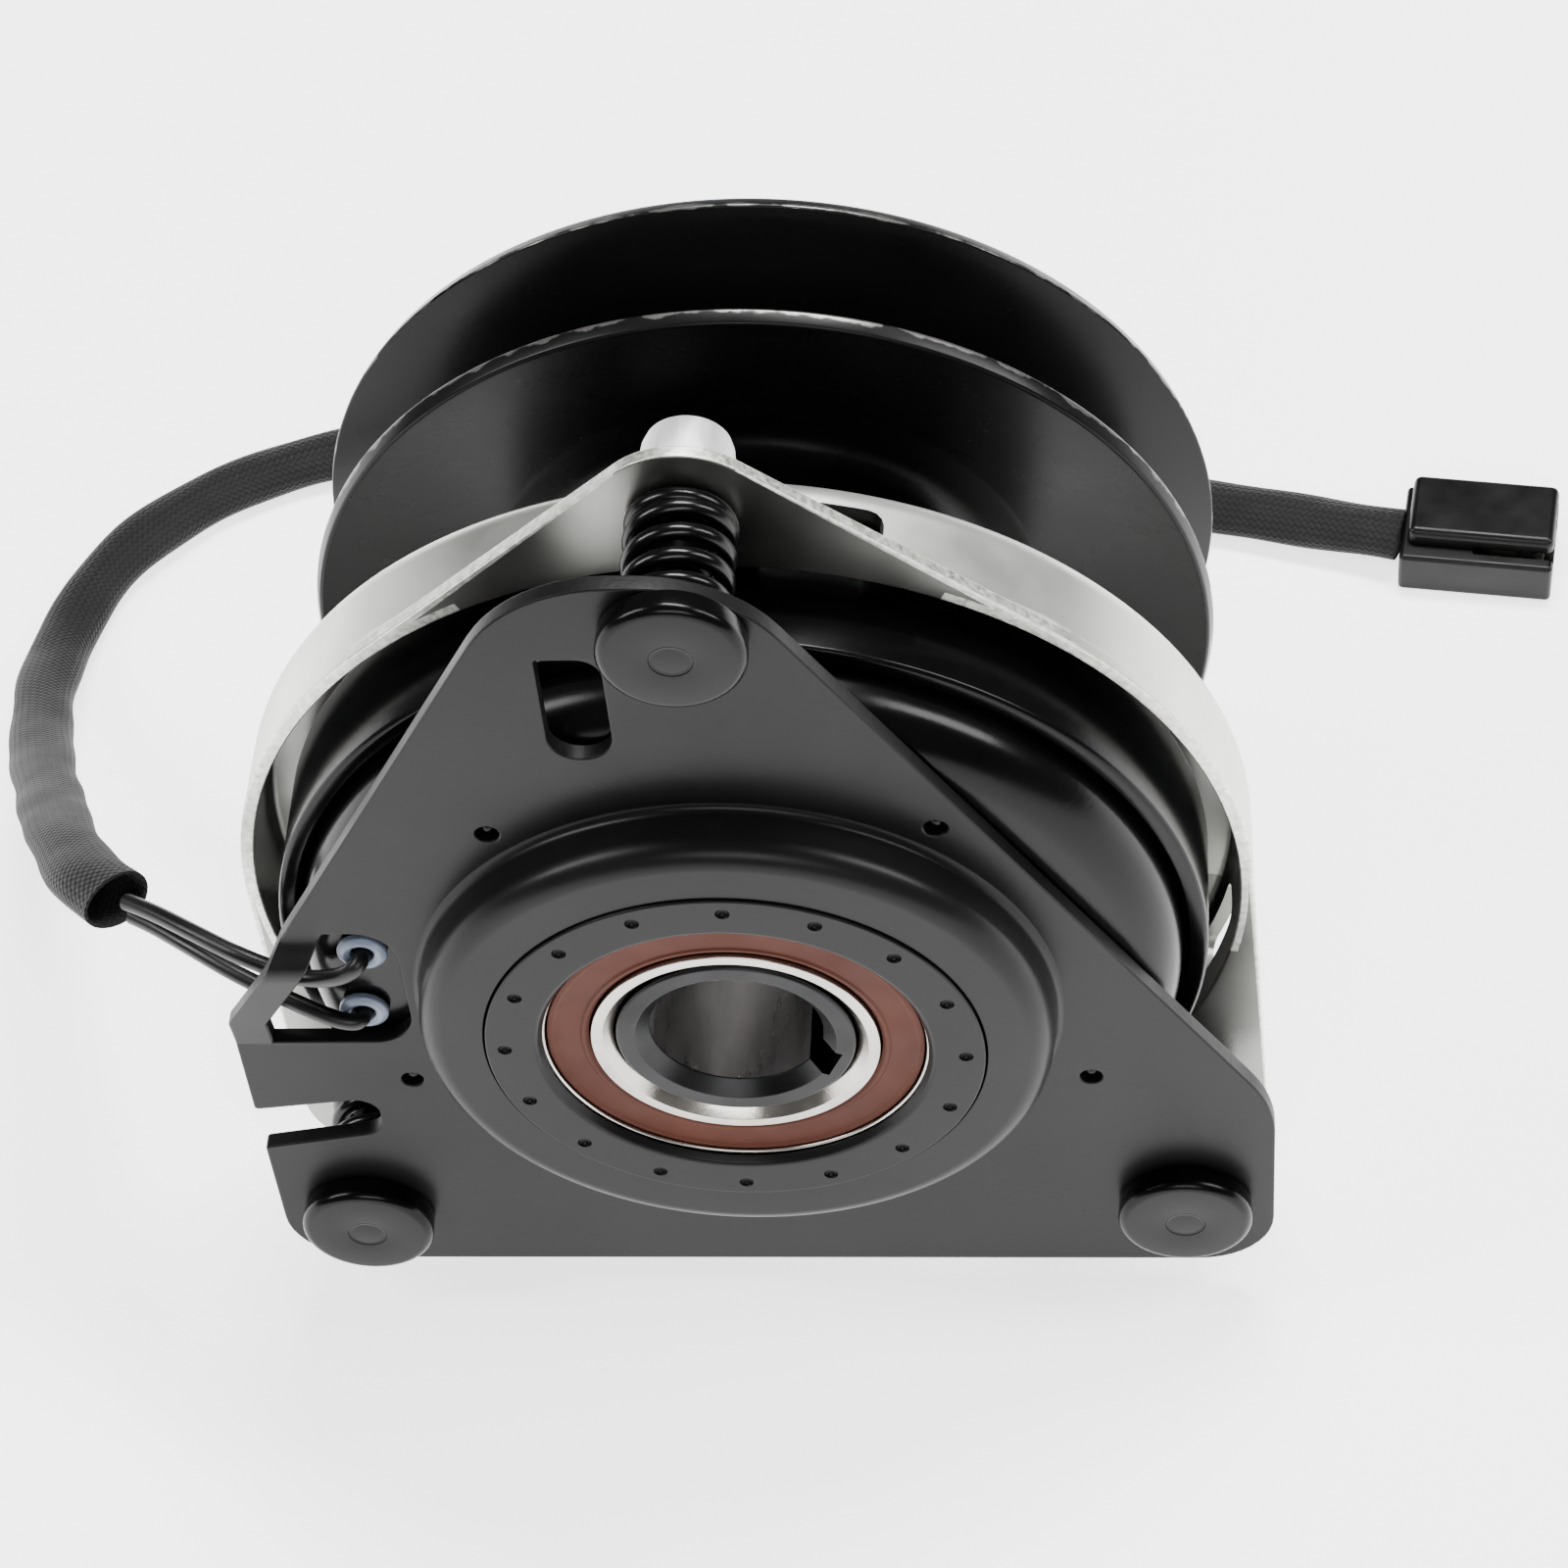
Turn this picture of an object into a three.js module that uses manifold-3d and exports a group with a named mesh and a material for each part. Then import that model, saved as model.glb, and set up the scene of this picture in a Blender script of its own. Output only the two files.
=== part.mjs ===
// Electromagnetic power take-off clutch for a garden tractor, with its V-belt pulley, brake and lead.
//
// Millimetres. The shaft lies along Y and the field plate faces -Y. The origin is on the shaft axis, at the
// mouth of the hub bore, and +Z is up as the clutch lies on its brake flange.
// Round parts are drawn in a shaft frame and turned into place once: there Z is the shaft axis, positive
// towards the field plate, so most stations along the shaft are negative.

import * as THREE from 'three';
import { mergeVertices } from 'three/addons/utils/BufferGeometryUtils.js';
import Module from 'manifold-3d';

const wasm = await Module();
wasm.setup();

// ---------------------------------------------------------------- driving dimensions

const GAP = 0.3;                    // air left between pieces that touch
const SEGMENTS = { large: 48, middle: 32, small: 16 };

const SHEET = 3;                    // field plate and pulley halves
const BORE_RADIUS = 14.29;          // 1-1/8 in crankshaft
const KEYWAY = { width: 6.35, depth: 3.2, angle: -24 };
const HUB = { radius: 19.7, front: -0.8, back: -106 };

const BEARING = { bore: 20, innerLand: 23.8, outerLand: 31.3, outer: 34, width: 15 };
const FIELD_BEARING_FRONT = 0;
const PULLEY_BEARING_FRONTS = { front: -55, rear: -85 };

const PLATE = { front: -8, back: -8 - SHEET };
const BOSS = { top: 1.4, rootRadius: 54.2, wallRadius: 52.2, innerRadius: 41.3 };
const CARRIER = { outer: 41, front: 1.9, back: -21, lipInner: 31.4 };

const STUDS = { circle: 93.5, apart: 130, turn: 91.3 };
const STUD_ANGLES = [0, STUDS.apart, -STUDS.apart].map((step) => STUDS.turn + step);
const STUD = { head: 11.7, headHeight: 4.6, shank: 3.9, tip: -49 };

const SHELL = { outer: 73, inner: 44, sheet: 2.5, shoulder: 8, front: PLATE.back - GAP, back: -36.5 };
const ROTOR = { outer: 77.3, wall: 3, rim: -20.5, faceFront: -38, faceBack: -42 };
const ARMATURE = { outer: 74.5, inner: 40, front: -42.5, back: -46.9 };

const BRAKE = { outer: 84.9, inner: 60, sheet: 2.3, rim: -31.3, back: -49.5, fold: 4, ear: 14.3 };
const WINDOW = { angles: [77.5, -16.2, 200], width: 19, front: -36.8, back: -44.2 };

const PULLEY = { rim: 78.8, grooveHalf: 11.9, middle: -102.5, rootRadius: 49, angle: 19 };
const DRUM = { outer: 37.2, inner: 34.3, top: -50.3 };
const CARRIER_FLANGE = { outer: 56, front: DRUM.top, back: DRUM.top - SHEET };

const FLOOR = -BRAKE.outer;
const WIRE = 3;
const SLEEVE = { width: 12, height: 7.4 };
const CONNECTOR = { length: 30, width: 19.4, height: 14, yaw: -7.5, centre: [131.5, 178] };

// ---------------------------------------------------------------- materials

const finish = (color, roughness, metalness) => new THREE.MeshStandardMaterial({ color, roughness, metalness });

const MATERIALS = {
  blackCoat: finish(0x1b1b1c, 0.3, 0.2),
  zinc: finish(0xb9b9b3, 0.42, 0.8),
  steel: finish(0x9a9a9a, 0.3, 1),
  darkSteel: finish(0x2e2e30, 0.4, 0.7),
  springSteel: finish(0x161617, 0.3, 0.6),
  sealRubber: finish(0x74452f, 0.6, 0),
  copper: finish(0xa8552d, 0.4, 0.9),
  potting: finish(0x202024, 0.6, 0),
  nylon: finish(0xc9d3df, 0.5, 0),
  insulation: finish(0x19191a, 0.5, 0),
  braid: finish(0x242425, 0.85, 0),
  blackPlastic: finish(0x1a1a1b, 0.5, 0),
  tinned: finish(0xc0c0bd, 0.3, 0.9),
};

// ---------------------------------------------------------------- solids

const radians = THREE.MathUtils.degToRad;
const polar = (radius, degrees) => [radius * Math.cos(radians(degrees)), radius * Math.sin(radians(degrees))];

function toSolid(geometry) {
  const bare = geometry.clone();
  bare.deleteAttribute('normal');
  bare.deleteAttribute('uv');
  const merged = mergeVertices(bare, 1e-4);
  const mesh = new wasm.Mesh({
    numProp: 3,
    vertProperties: new Float32Array(merged.attributes.position.array),
    triVerts: new Uint32Array(merged.index.array),
  });
  return new wasm.Manifold(mesh);
}

function toGeometry(solid) {
  const mesh = solid.getMesh();
  const geometry = new THREE.BufferGeometry();
  geometry.setAttribute('position', new THREE.BufferAttribute(new Float32Array(mesh.vertProperties), 3));
  geometry.setIndex(new THREE.BufferAttribute(new Uint32Array(mesh.triVerts), 1));
  geometry.computeVertexNormals();
  return geometry;
}

function cut(geometry, ...tools) {
  const result = tools.reduce((solid, tool) => solid.subtract(toSolid(tool)), toSolid(geometry));
  return toGeometry(result);
}

function join(...geometries) {
  const [first, ...rest] = geometries.map(toSolid);
  return toGeometry(rest.reduce((solid, next) => solid.add(next), first));
}

// A ring turned from a closed outline of [radius, station] points.
function ring(outline, segments = SEGMENTS.middle) {
  const area = outline.reduce((sum, [r, z], i) => {
    const [nextR, nextZ] = outline[(i + 1) % outline.length];
    return sum + r * nextZ - nextR * z;
  }, 0);
  const ordered = area > 0 ? outline : [...outline].reverse();
  const points = [...ordered, ordered[0]].map(([r, z]) => new THREE.Vector2(r, z));
  return new THREE.LatheGeometry(points, segments).rotateX(Math.PI / 2);
}

// A plain ring of rectangular section.
const washer = (inner, outer, back, front, segments) =>
  ring([[inner, back], [outer, back], [outer, front], [inner, front]], segments);

// A solid turned from an outline that starts and ends on the axis, from the back to the front.
function turned(outline, segments = SEGMENTS.small) {
  const points = outline.map(([r, z]) => new THREE.Vector2(r, z));
  return new THREE.LatheGeometry(points, segments).rotateX(Math.PI / 2);
}

// The points of a rounded corner in a section: centre, radius and the angles it runs between.
function arcPoints(centreR, centreZ, radius, fromDegrees, toDegrees, steps = 3) {
  return Array.from({ length: steps + 1 }, (_, i) => {
    const [dr, dz] = polar(radius, fromDegrees + ((toDegrees - fromDegrees) * i) / steps);
    return [centreR + dr, centreZ + dz];
  });
}

function extruded(shape, back, front, curveSegments = 6) {
  const settings = { depth: front - back, bevelEnabled: false, curveSegments };
  return new THREE.ExtrudeGeometry(shape, settings).translate(0, 0, back);
}

// A closed outline with each corner given as [x, y, corner radius].
function roundedShape(corners) {
  const shape = new THREE.Shape();
  corners.forEach(([x, y, radius], i) => {
    const corner = new THREE.Vector2(x, y);
    const [before, after] = [corners.at(i - 1), corners[(i + 1) % corners.length]]
      .map(([nx, ny]) => new THREE.Vector2(nx, ny).sub(corner).normalize());
    const reach = radius / Math.tan(before.angleTo(after) / 2);
    const start = before.multiplyScalar(reach).add(corner);
    const end = after.multiplyScalar(reach).add(corner);
    if (i === 0) shape.moveTo(start.x, start.y);
    else shape.lineTo(start.x, start.y);
    shape.quadraticCurveTo(corner.x, corner.y, end.x, end.y);
  });
  shape.closePath();
  return shape;
}

function pin(radius, back, front, x = 0, y = 0, segments = SEGMENTS.small) {
  const length = front - back;
  return new THREE.CylinderGeometry(radius, radius, length, segments)
    .rotateX(Math.PI / 2)
    .translate(x, y, back + length / 2);
}

// ---------------------------------------------------------------- the assembly

const clutch = new THREE.Group();
const shaftFrame = new THREE.Group();
shaftFrame.rotation.x = Math.PI / 2;
clutch.add(shaftFrame);

function place(parent, name, geometry, material) {
  const mesh = new THREE.Mesh(geometry, material);
  mesh.name = name;
  parent.add(mesh);
  return mesh;
}

const onShaft = (name, geometry, material) => place(shaftFrame, name, geometry, material);

// ---------------------------------------------------------------- field plate

const LEFT_EDGE = -85.8;
const WIRE_WINDOW = { inner: -55, bottom: -10.3, top: 19.6, corner: 7 };
const BRIDGE = { rise: 3.4, width: 6.5, bottom: -10.8, crest: [11, 13.5], top: 19.4 };
const WELD_HOLES = [[34.8, 46.6], [-36, 45.8], [57.6, -21], [-57.2, -21.4]];

const PLATE_CORNERS = {
  topRight: [6.5, 104.3],
  right: [88.3, -30.2],
  bottomRight: [88.3, -76.8],
  bottomLeft: [LEFT_EDGE, -76.8],
  left: [LEFT_EDGE, -4],
  topLeft: [-26.4, 104.3],
};
const plateOutline = roundedShape([
  [...PLATE_CORNERS.topRight, 25],
  [...PLATE_CORNERS.right, 28],
  [...PLATE_CORNERS.bottomRight, 13],
  [...PLATE_CORNERS.bottomLeft, 13],
  [...PLATE_CORNERS.left, 2],
  [...PLATE_CORNERS.topLeft, 26],
]);
// The kidney slot has one straight side with a square corner at its top.
const kidneySlot = roundedShape([[-13.8, 64.6, 4.8], [-13.8, 88, 4], [-23.8, 88, 0.5], [-23.8, 64.6, 4.8]]);
// The slot that holds the plate against turning opens through the left edge.
const torqueSlot = roundedShape([[-64.6, -37.2, 3.8], [-63.8, -27, 4], [-92, -31.4, 0.5], [-91, -43, 0.5]]);

function bossSection() {
  const { top, rootRadius, wallRadius, innerRadius } = BOSS;
  const [round, inside] = [4, 1.5];
  return [
    [innerRadius, top],
    ...arcPoints(wallRadius - round, top - round, round, 90, 0),
    [wallRadius + 0.2, PLATE.front + 1.6],
    [rootRadius, PLATE.front],
    [rootRadius, PLATE.back],
    [wallRadius - SHEET, PLATE.back],
    ...arcPoints(wallRadius - SHEET - inside, top - SHEET - inside, inside, 0, 90, 2),
    [innerRadius, top - SHEET],
  ];
}

// The strip that bridges the wire window slopes forward to a crest near its top, so that the wires pass
// under it.
function bridge() {
  const { rise, width, bottom, crest, top } = BRIDGE;
  const front = (offset) => [
    [bottom, PLATE.front + offset],
    [crest[0], PLATE.front + offset + rise],
    [crest[1], PLATE.front + offset + rise],
    [top, PLATE.front + offset],
  ];
  const section = new THREE.Shape();
  const outline = [[bottom - 3, PLATE.front], ...front(0), [top + 3, PLATE.front], [top + 3, PLATE.back]];
  outline.push(...front(-SHEET).reverse(), [bottom - 3, PLATE.back]);
  section.setFromPoints(outline.map(([y, z]) => new THREE.Vector2(y, z)));
  const axes = new THREE.Matrix4().makeBasis(
    new THREE.Vector3(0, 1, 0),
    new THREE.Vector3(0, 0, 1),
    new THREE.Vector3(1, 0, 0),
  );
  const pressed = new THREE.ExtrudeGeometry(section, { depth: 60, bevelEnabled: false })
    .applyMatrix4(axes)
    .translate(LEFT_EDGE - 1, 0, 0);
  const [leftX, leftY] = PLATE_CORNERS.left;
  const [topX, topY] = PLATE_CORNERS.topLeft;
  const edgeAt = (y) => leftX + (Math.max(y - leftY, 0) * (topX - leftX)) / (topY - leftY);
  const strip = new THREE.Shape();
  const stations = [bottom - 2, leftY, top + 2];
  const outer = stations.map((y) => new THREE.Vector2(edgeAt(y), y));
  const inner = stations.map((y) => new THREE.Vector2(edgeAt(y) + width, y)).reverse();
  strip.setFromPoints([...outer, ...inner]);
  return toGeometry(toSolid(pressed).intersect(toSolid(extruded(strip, PLATE.back - 1, 0))));
}

function fieldPlate() {
  const sheet = extruded(plateOutline, PLATE.back, PLATE.front);
  const through = [PLATE.back - 1, PLATE.front + 1];
  const { inner, bottom, top, corner } = WIRE_WINDOW;
  const window = roundedShape([[inner, bottom, corner], [inner, top, corner], [-99, top, 0.5], [-99, bottom, 0.5]]);
  const shapes = [window, torqueSlot, kidneySlot].map((shape) => extruded(shape, ...through));
  const studHoles = STUD_ANGLES.map((angle) => pin(STUD.shank + GAP, ...through, ...polar(STUDS.circle, angle)));
  const weldHoles = WELD_HOLES.map(([x, y]) => pin(1.8, ...through, x, y, 10));
  const middle = pin(BOSS.wallRadius - 1, ...through, 0, 0, SEGMENTS.large);
  const flat = cut(sheet, middle, ...shapes, ...studHoles, ...weldHoles);
  return join(flat, ring(bossSection(), SEGMENTS.large), bridge());
}

onShaft('field_plate', fieldPlate(), MATERIALS.blackCoat);

// ---------------------------------------------------------------- field: bearing carrier, shell and coil

// The carrier is staked into the boss, and its front lip holds the bearing in.
const carrierSection = [
  [CARRIER.outer, CARRIER.back],
  [CARRIER.outer, CARRIER.front],
  [CARRIER.lipInner, CARRIER.front],
  [CARRIER.lipInner, FIELD_BEARING_FRONT + GAP],
  [BEARING.outer + GAP, FIELD_BEARING_FRONT + GAP],
  [BEARING.outer + GAP, CARRIER.back],
];

// A steel channel with round shoulders, open towards the rotor.
function shellSection() {
  const { outer, inner, sheet, shoulder, front, back } = SHELL;
  return [
    [outer, back],
    ...arcPoints(outer - shoulder, front - shoulder, shoulder, 0, 90, 3),
    ...arcPoints(inner + shoulder / 2, front - shoulder / 2, shoulder / 2, 90, 180, 1),
    [inner, back],
    [inner + sheet, back],
    ...arcPoints(inner + shoulder / 2, front - shoulder / 2, shoulder / 2 - sheet, 180, 90, 1),
    ...arcPoints(outer - shoulder, front - shoulder, shoulder - sheet, 90, 0, 2),
    [outer - sheet, back],
  ];
}

const COIL = {
  inner: SHELL.inner + SHELL.sheet + GAP,
  outer: SHELL.outer - SHELL.sheet - GAP,
  front: -20,
  back: -33.5,
};

onShaft('bearing_carrier_ring', ring(carrierSection, SEGMENTS.large), MATERIALS.blackCoat);
onShaft('field_coil_shell', ring(shellSection(), SEGMENTS.large), MATERIALS.blackCoat);
onShaft('field_coil_winding', washer(COIL.inner, COIL.outer, COIL.back, COIL.front), MATERIALS.copper);
onShaft(
  'coil_potting_ring',
  washer(COIL.inner, COIL.outer, SHELL.back + 0.5, COIL.back - GAP),
  MATERIALS.potting,
);

// ---------------------------------------------------------------- ball bearings

const SEAL = { inset: 0.4, thickness: 1.2, gap: 0.3 };
const BALLS = { count: 9, radius: 3.3, cageHalf: 1.1, cageDepth: 2.4 };

const bearingRing = (inner, outer, front) => washer(inner, outer, front - BEARING.width, front);

function bearingSeal(front) {
  const { inset, thickness, gap } = SEAL;
  const back = front - inset - thickness;
  return washer(BEARING.innerLand + gap, BEARING.outerLand - gap, back, back + thickness);
}

function ballCage(front) {
  const middle = front - BEARING.width / 2;
  const pitch = (BEARING.innerLand + BEARING.outerLand) / 2;
  const { count, radius, cageHalf, cageDepth } = BALLS;
  const cage = washer(pitch - cageHalf, pitch + cageHalf, middle - cageDepth, middle + cageDepth, 18);
  const balls = Array.from({ length: count }, (_, i) => {
    const [x, y] = polar(pitch, (i * 360) / count);
    return new THREE.IcosahedronGeometry(radius).translate(x, y, middle);
  });
  return join(cage, ...balls);
}

function bearing(prefix, front) {
  onShaft(`${prefix}_outer_ring`, bearingRing(BEARING.outerLand, BEARING.outer, front), MATERIALS.steel);
  onShaft(`${prefix}_inner_ring`, bearingRing(BEARING.bore, BEARING.innerLand, front), MATERIALS.steel);
  onShaft(`${prefix}_balls_and_cage`, ballCage(front), MATERIALS.steel);
  onShaft(`${prefix}_front_seal`, bearingSeal(front), MATERIALS.sealRubber);
  onShaft(
    `${prefix}_rear_seal`,
    bearingSeal(front - BEARING.width + 2 * SEAL.inset + SEAL.thickness),
    MATERIALS.sealRubber,
  );
}

bearing('field_bearing', FIELD_BEARING_FRONT);
bearing('front_pulley_bearing', PULLEY_BEARING_FRONTS.front);
bearing('rear_pulley_bearing', PULLEY_BEARING_FRONTS.rear);

// ---------------------------------------------------------------- rotor: hub, spacers and rotor cup

const CHAMFER = 2.3;
const SPACER_OUTER = 24;
const HUB_CLIP = { outer: 23.5, thickness: 1.6 };

function hub() {
  const { radius, front, back } = HUB;
  const sleeve = ring([
    [BORE_RADIUS, back],
    [radius - 1, back],
    [radius, back + 1],
    [radius, front],
    [BORE_RADIUS + CHAMFER, front],
    [BORE_RADIUS, front - CHAMFER],
  ]);
  const length = front - back + 2;
  const keyway = new THREE.BoxGeometry(BORE_RADIUS + KEYWAY.depth, KEYWAY.width, length)
    .translate((BORE_RADIUS + KEYWAY.depth) / 2, 0, (front + back) / 2)
    .rotateZ(radians(KEYWAY.angle));
  return cut(sleeve, keyway);
}

const rotorSection = [
  [BEARING.bore, ROTOR.faceBack],
  [ROTOR.outer - 1, ROTOR.faceBack],
  [ROTOR.outer, ROTOR.faceBack + 1],
  [ROTOR.outer, ROTOR.rim],
  [ROTOR.outer - ROTOR.wall, ROTOR.rim],
  [ROTOR.outer - ROTOR.wall, ROTOR.faceFront],
  [BEARING.bore, ROTOR.faceFront],
];

const bearingBack = (front) => front - BEARING.width - GAP;
const spacer = (back, front) => washer(BEARING.bore, SPACER_OUTER, back, front, SEGMENTS.middle);
const clipFront = bearingBack(PULLEY_BEARING_FRONTS.rear);

onShaft('keyed_hub', hub(), MATERIALS.darkSteel);
onShaft('rotor_cup', ring(rotorSection, SEGMENTS.large), MATERIALS.blackCoat);
onShaft('field_spacer', spacer(ROTOR.faceFront + GAP, bearingBack(FIELD_BEARING_FRONT)), MATERIALS.steel);
onShaft(
  'rotor_spacer',
  spacer(PULLEY_BEARING_FRONTS.front + GAP, ROTOR.faceBack - GAP),
  MATERIALS.steel,
);
onShaft(
  'pulley_bearing_spacer',
  spacer(PULLEY_BEARING_FRONTS.rear + GAP, bearingBack(PULLEY_BEARING_FRONTS.front)),
  MATERIALS.steel,
);
onShaft(
  'hub_retaining_ring',
  washer(BEARING.bore, HUB_CLIP.outer, clipFront - HUB_CLIP.thickness, clipFront),
  MATERIALS.darkSteel,
);

// ---------------------------------------------------------------- armature and its leaf springs

const LEAF = {
  count: 3,
  width: 10,
  front: -48.4,
  thickness: 0.6,
  armatureCircle: 53,
  carrierCircle: 47,
  sweep: 38,
};
const RIVET = { shaft: 2.2, collar: 3.4, head: 4 };

const leafEnds = (i) => {
  const start = 15 + (i * 360) / LEAF.count;
  return [polar(LEAF.armatureCircle, start), polar(LEAF.carrierCircle, start + LEAF.sweep)];
};

function leafSpring([from, to]) {
  const length = Math.hypot(to[0] - from[0], to[1] - from[1]);
  const half = LEAF.width / 2;
  const ends = [-half, length + half];
  const strap = roundedShape([
    [ends[0], -half, 3],
    [ends[1], -half, 3],
    [ends[1], half, 3],
    [ends[0], half, 3],
  ]);
  const back = LEAF.front - LEAF.thickness;
  const holes = [0, length].map((x) => pin(RIVET.shaft + GAP, back - 1, LEAF.front + 1, x, 0, 10));
  return cut(extruded(strap, back, LEAF.front, 2), ...holes)
    .rotateZ(Math.atan2(to[1] - from[1], to[0] - from[0]))
    .translate(from[0], from[1], 0);
}

const leafBack = LEAF.front - LEAF.thickness;
// A rivet through a leaf spring: head and shaft on one side, and a collar on the side of the piece it holds.
const armatureRivet = turned([
  [0, CARRIER_FLANGE.front + GAP],
  [RIVET.head, CARRIER_FLANGE.front + GAP],
  [RIVET.head, leafBack - GAP],
  [RIVET.shaft, leafBack - GAP],
  [RIVET.shaft, LEAF.front + GAP],
  [RIVET.collar, LEAF.front + GAP],
  [RIVET.collar, ARMATURE.back - GAP],
  [0, ARMATURE.back - GAP],
], 12);
const carrierRivet = turned([
  [0, CARRIER_FLANGE.front + GAP],
  [RIVET.collar, CARRIER_FLANGE.front + GAP],
  [RIVET.collar, leafBack - GAP],
  [RIVET.shaft, leafBack - GAP],
  [RIVET.shaft, LEAF.front + 0.5],
  [RIVET.head, LEAF.front + 0.5],
  [RIVET.head, ARMATURE.back - 0.4],
  [0, ARMATURE.back - 0.4],
], 12);

onShaft(
  'armature_plate',
  washer(ARMATURE.inner, ARMATURE.outer, ARMATURE.back, ARMATURE.front, SEGMENTS.large),
  MATERIALS.darkSteel,
);
for (let i = 0; i < LEAF.count; i += 1) {
  const [atArmature, atCarrier] = leafEnds(i);
  onShaft(`armature_leaf_spring_${i + 1}`, leafSpring([atArmature, atCarrier]), MATERIALS.springSteel);
  onShaft(`armature_rivet_${i + 1}`, armatureRivet.clone(), MATERIALS.steel).position.set(...atArmature, 0);
  onShaft(`carrier_rivet_${i + 1}`, carrierRivet.clone(), MATERIALS.steel).position.set(...atCarrier, 0);
}

// ---------------------------------------------------------------- pulley

const SLOPE = Math.tan(radians(PULLEY.angle));
const EDGE = polar(SHEET, PULLEY.angle);
const WEB_GAP = GAP / 2;
const DRUM_FILLET = 6;
const DRUM_STOP = { inner: 31.5, thickness: 4.4 };

// The groove face of a pulley half, as a distance from the middle of the groove.
const grooveFace = (radius) => PULLEY.grooveHalf - (PULLEY.rim - radius) * SLOPE;
const coneEnd = PULLEY.rootRadius + 2;

// The half nearer the clutch is drawn in one piece with the drum that holds the bearings.
function frontHalfSection() {
  const at = (offset) => PULLEY.middle + offset;
  const webFront = at(WEB_GAP + SHEET);
  return [
    [PULLEY.rim, at(PULLEY.grooveHalf)],
    [PULLEY.rim - EDGE[1], at(PULLEY.grooveHalf + EDGE[0])],
    [coneEnd, at(grooveFace(coneEnd) + EDGE[0] + 0.3)],
    [PULLEY.rootRadius - 3, webFront],
    ...arcPoints(DRUM.outer + DRUM_FILLET, webFront + DRUM_FILLET, DRUM_FILLET, 270, 180),
    [DRUM.outer, DRUM.top],
    [DRUM_STOP.inner, DRUM.top],
    [DRUM_STOP.inner, DRUM.top - DRUM_STOP.thickness],
    [DRUM.inner, DRUM.top - DRUM_STOP.thickness],
    [DRUM.inner, webFront - SHEET + 3],
    [DRUM.inner + 3, at(WEB_GAP)],
    [PULLEY.rootRadius - 2, at(WEB_GAP)],
    [coneEnd, at(grooveFace(coneEnd))],
  ];
}

function rearHalfSection() {
  const at = (offset) => PULLEY.middle - offset;
  return [
    [PULLEY.rim, at(PULLEY.grooveHalf)],
    [PULLEY.rim - EDGE[1], at(PULLEY.grooveHalf + EDGE[0])],
    [coneEnd, at(grooveFace(coneEnd) + EDGE[0] + 0.3)],
    [PULLEY.rootRadius - 3, at(WEB_GAP + SHEET)],
    [DRUM.inner + 4, at(WEB_GAP + SHEET)],
    [DRUM.inner + 4, at(WEB_GAP)],
    [PULLEY.rootRadius - 2, at(WEB_GAP)],
    [coneEnd, at(grooveFace(coneEnd))],
  ];
}

onShaft('pulley_front_half', ring(frontHalfSection(), SEGMENTS.large), MATERIALS.blackCoat);
onShaft('pulley_rear_half', ring(rearHalfSection(), SEGMENTS.large), MATERIALS.blackCoat);
onShaft(
  'armature_carrier_flange',
  washer(DRUM.outer + GAP, CARRIER_FLANGE.outer, CARRIER_FLANGE.back, CARRIER_FLANGE.front),
  MATERIALS.blackCoat,
);
onShaft(
  'drum_retaining_ring',
  washer(BEARING.outerLand + 0.5, DRUM.inner - GAP, clipFront - 1, clipFront),
  MATERIALS.darkSteel,
);

// ---------------------------------------------------------------- brake flange, studs, springs and nuts

function brakeRim() {
  const { outer, ear } = BRAKE;
  const reach = THREE.MathUtils.radToDeg(Math.acos((outer - ear) / STUDS.circle));
  const shape = new THREE.Shape();
  STUD_ANGLES.toSorted((a, b) => a - b).forEach((angle, i, angles) => {
    const next = i + 1 < angles.length ? angles[i + 1] : angles[0] + 360;
    const [x, y] = polar(STUDS.circle, angle);
    shape.absarc(x, y, ear, radians(angle - reach), radians(angle + reach), false);
    shape.absarc(0, 0, outer, radians(angle + reach), radians(next - reach), false);
  });
  shape.closePath();
  return extruded(shape, BRAKE.rim - BRAKE.sheet, BRAKE.rim, 8);
}

function brakeCupSection() {
  const { outer, inner, sheet, rim, back, fold } = BRAKE;
  return [
    [inner, back],
    ...arcPoints(outer - fold, back + fold, fold, 270, 360),
    [outer, rim],
    [outer - sheet, rim],
    ...arcPoints(outer - fold, back + fold, fold - sheet, 360, 270, 2),
    [inner, back + sheet],
  ];
}

function inspectionWindow(angle) {
  const { width, front, back } = WINDOW;
  const [x, y] = polar(BRAKE.outer, angle);
  return new THREE.BoxGeometry(12, width, front - back)
    .rotateZ(radians(angle))
    .translate(x, y, (front + back) / 2);
}

function brakeFlange() {
  const { outer, sheet, rim } = BRAKE;
  const through = [rim - sheet - 1, rim + 1];
  const middle = pin(outer - sheet / 2, ...through, 0, 0, SEGMENTS.large);
  const studHoles = STUD_ANGLES.map((angle) => pin(STUD.shank + GAP, ...through, ...polar(STUDS.circle, angle)));
  const ears = cut(brakeRim(), middle, ...studHoles);
  const body = join(ring(brakeCupSection(), SEGMENTS.large), ears);
  return cut(body, ...WINDOW.angles.map(inspectionWindow));
}

const stud = turned([
  [0, STUD.tip],
  [STUD.shank - 0.8, STUD.tip],
  [STUD.shank, STUD.tip + 0.8],
  [STUD.shank, PLATE.front + GAP],
  [STUD.head, PLATE.front + GAP],
  ...arcPoints(STUD.head - 1.6, PLATE.front + GAP + STUD.headHeight - 1.6, 1.6, 0, 90, 2),
  [0, PLATE.front + GAP + STUD.headHeight],
], 20);

const BRAKE_SPRING = { turns: 5, radius: 7.5, wire: 1.45, steps: 9, closed: 0.75 };

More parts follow.
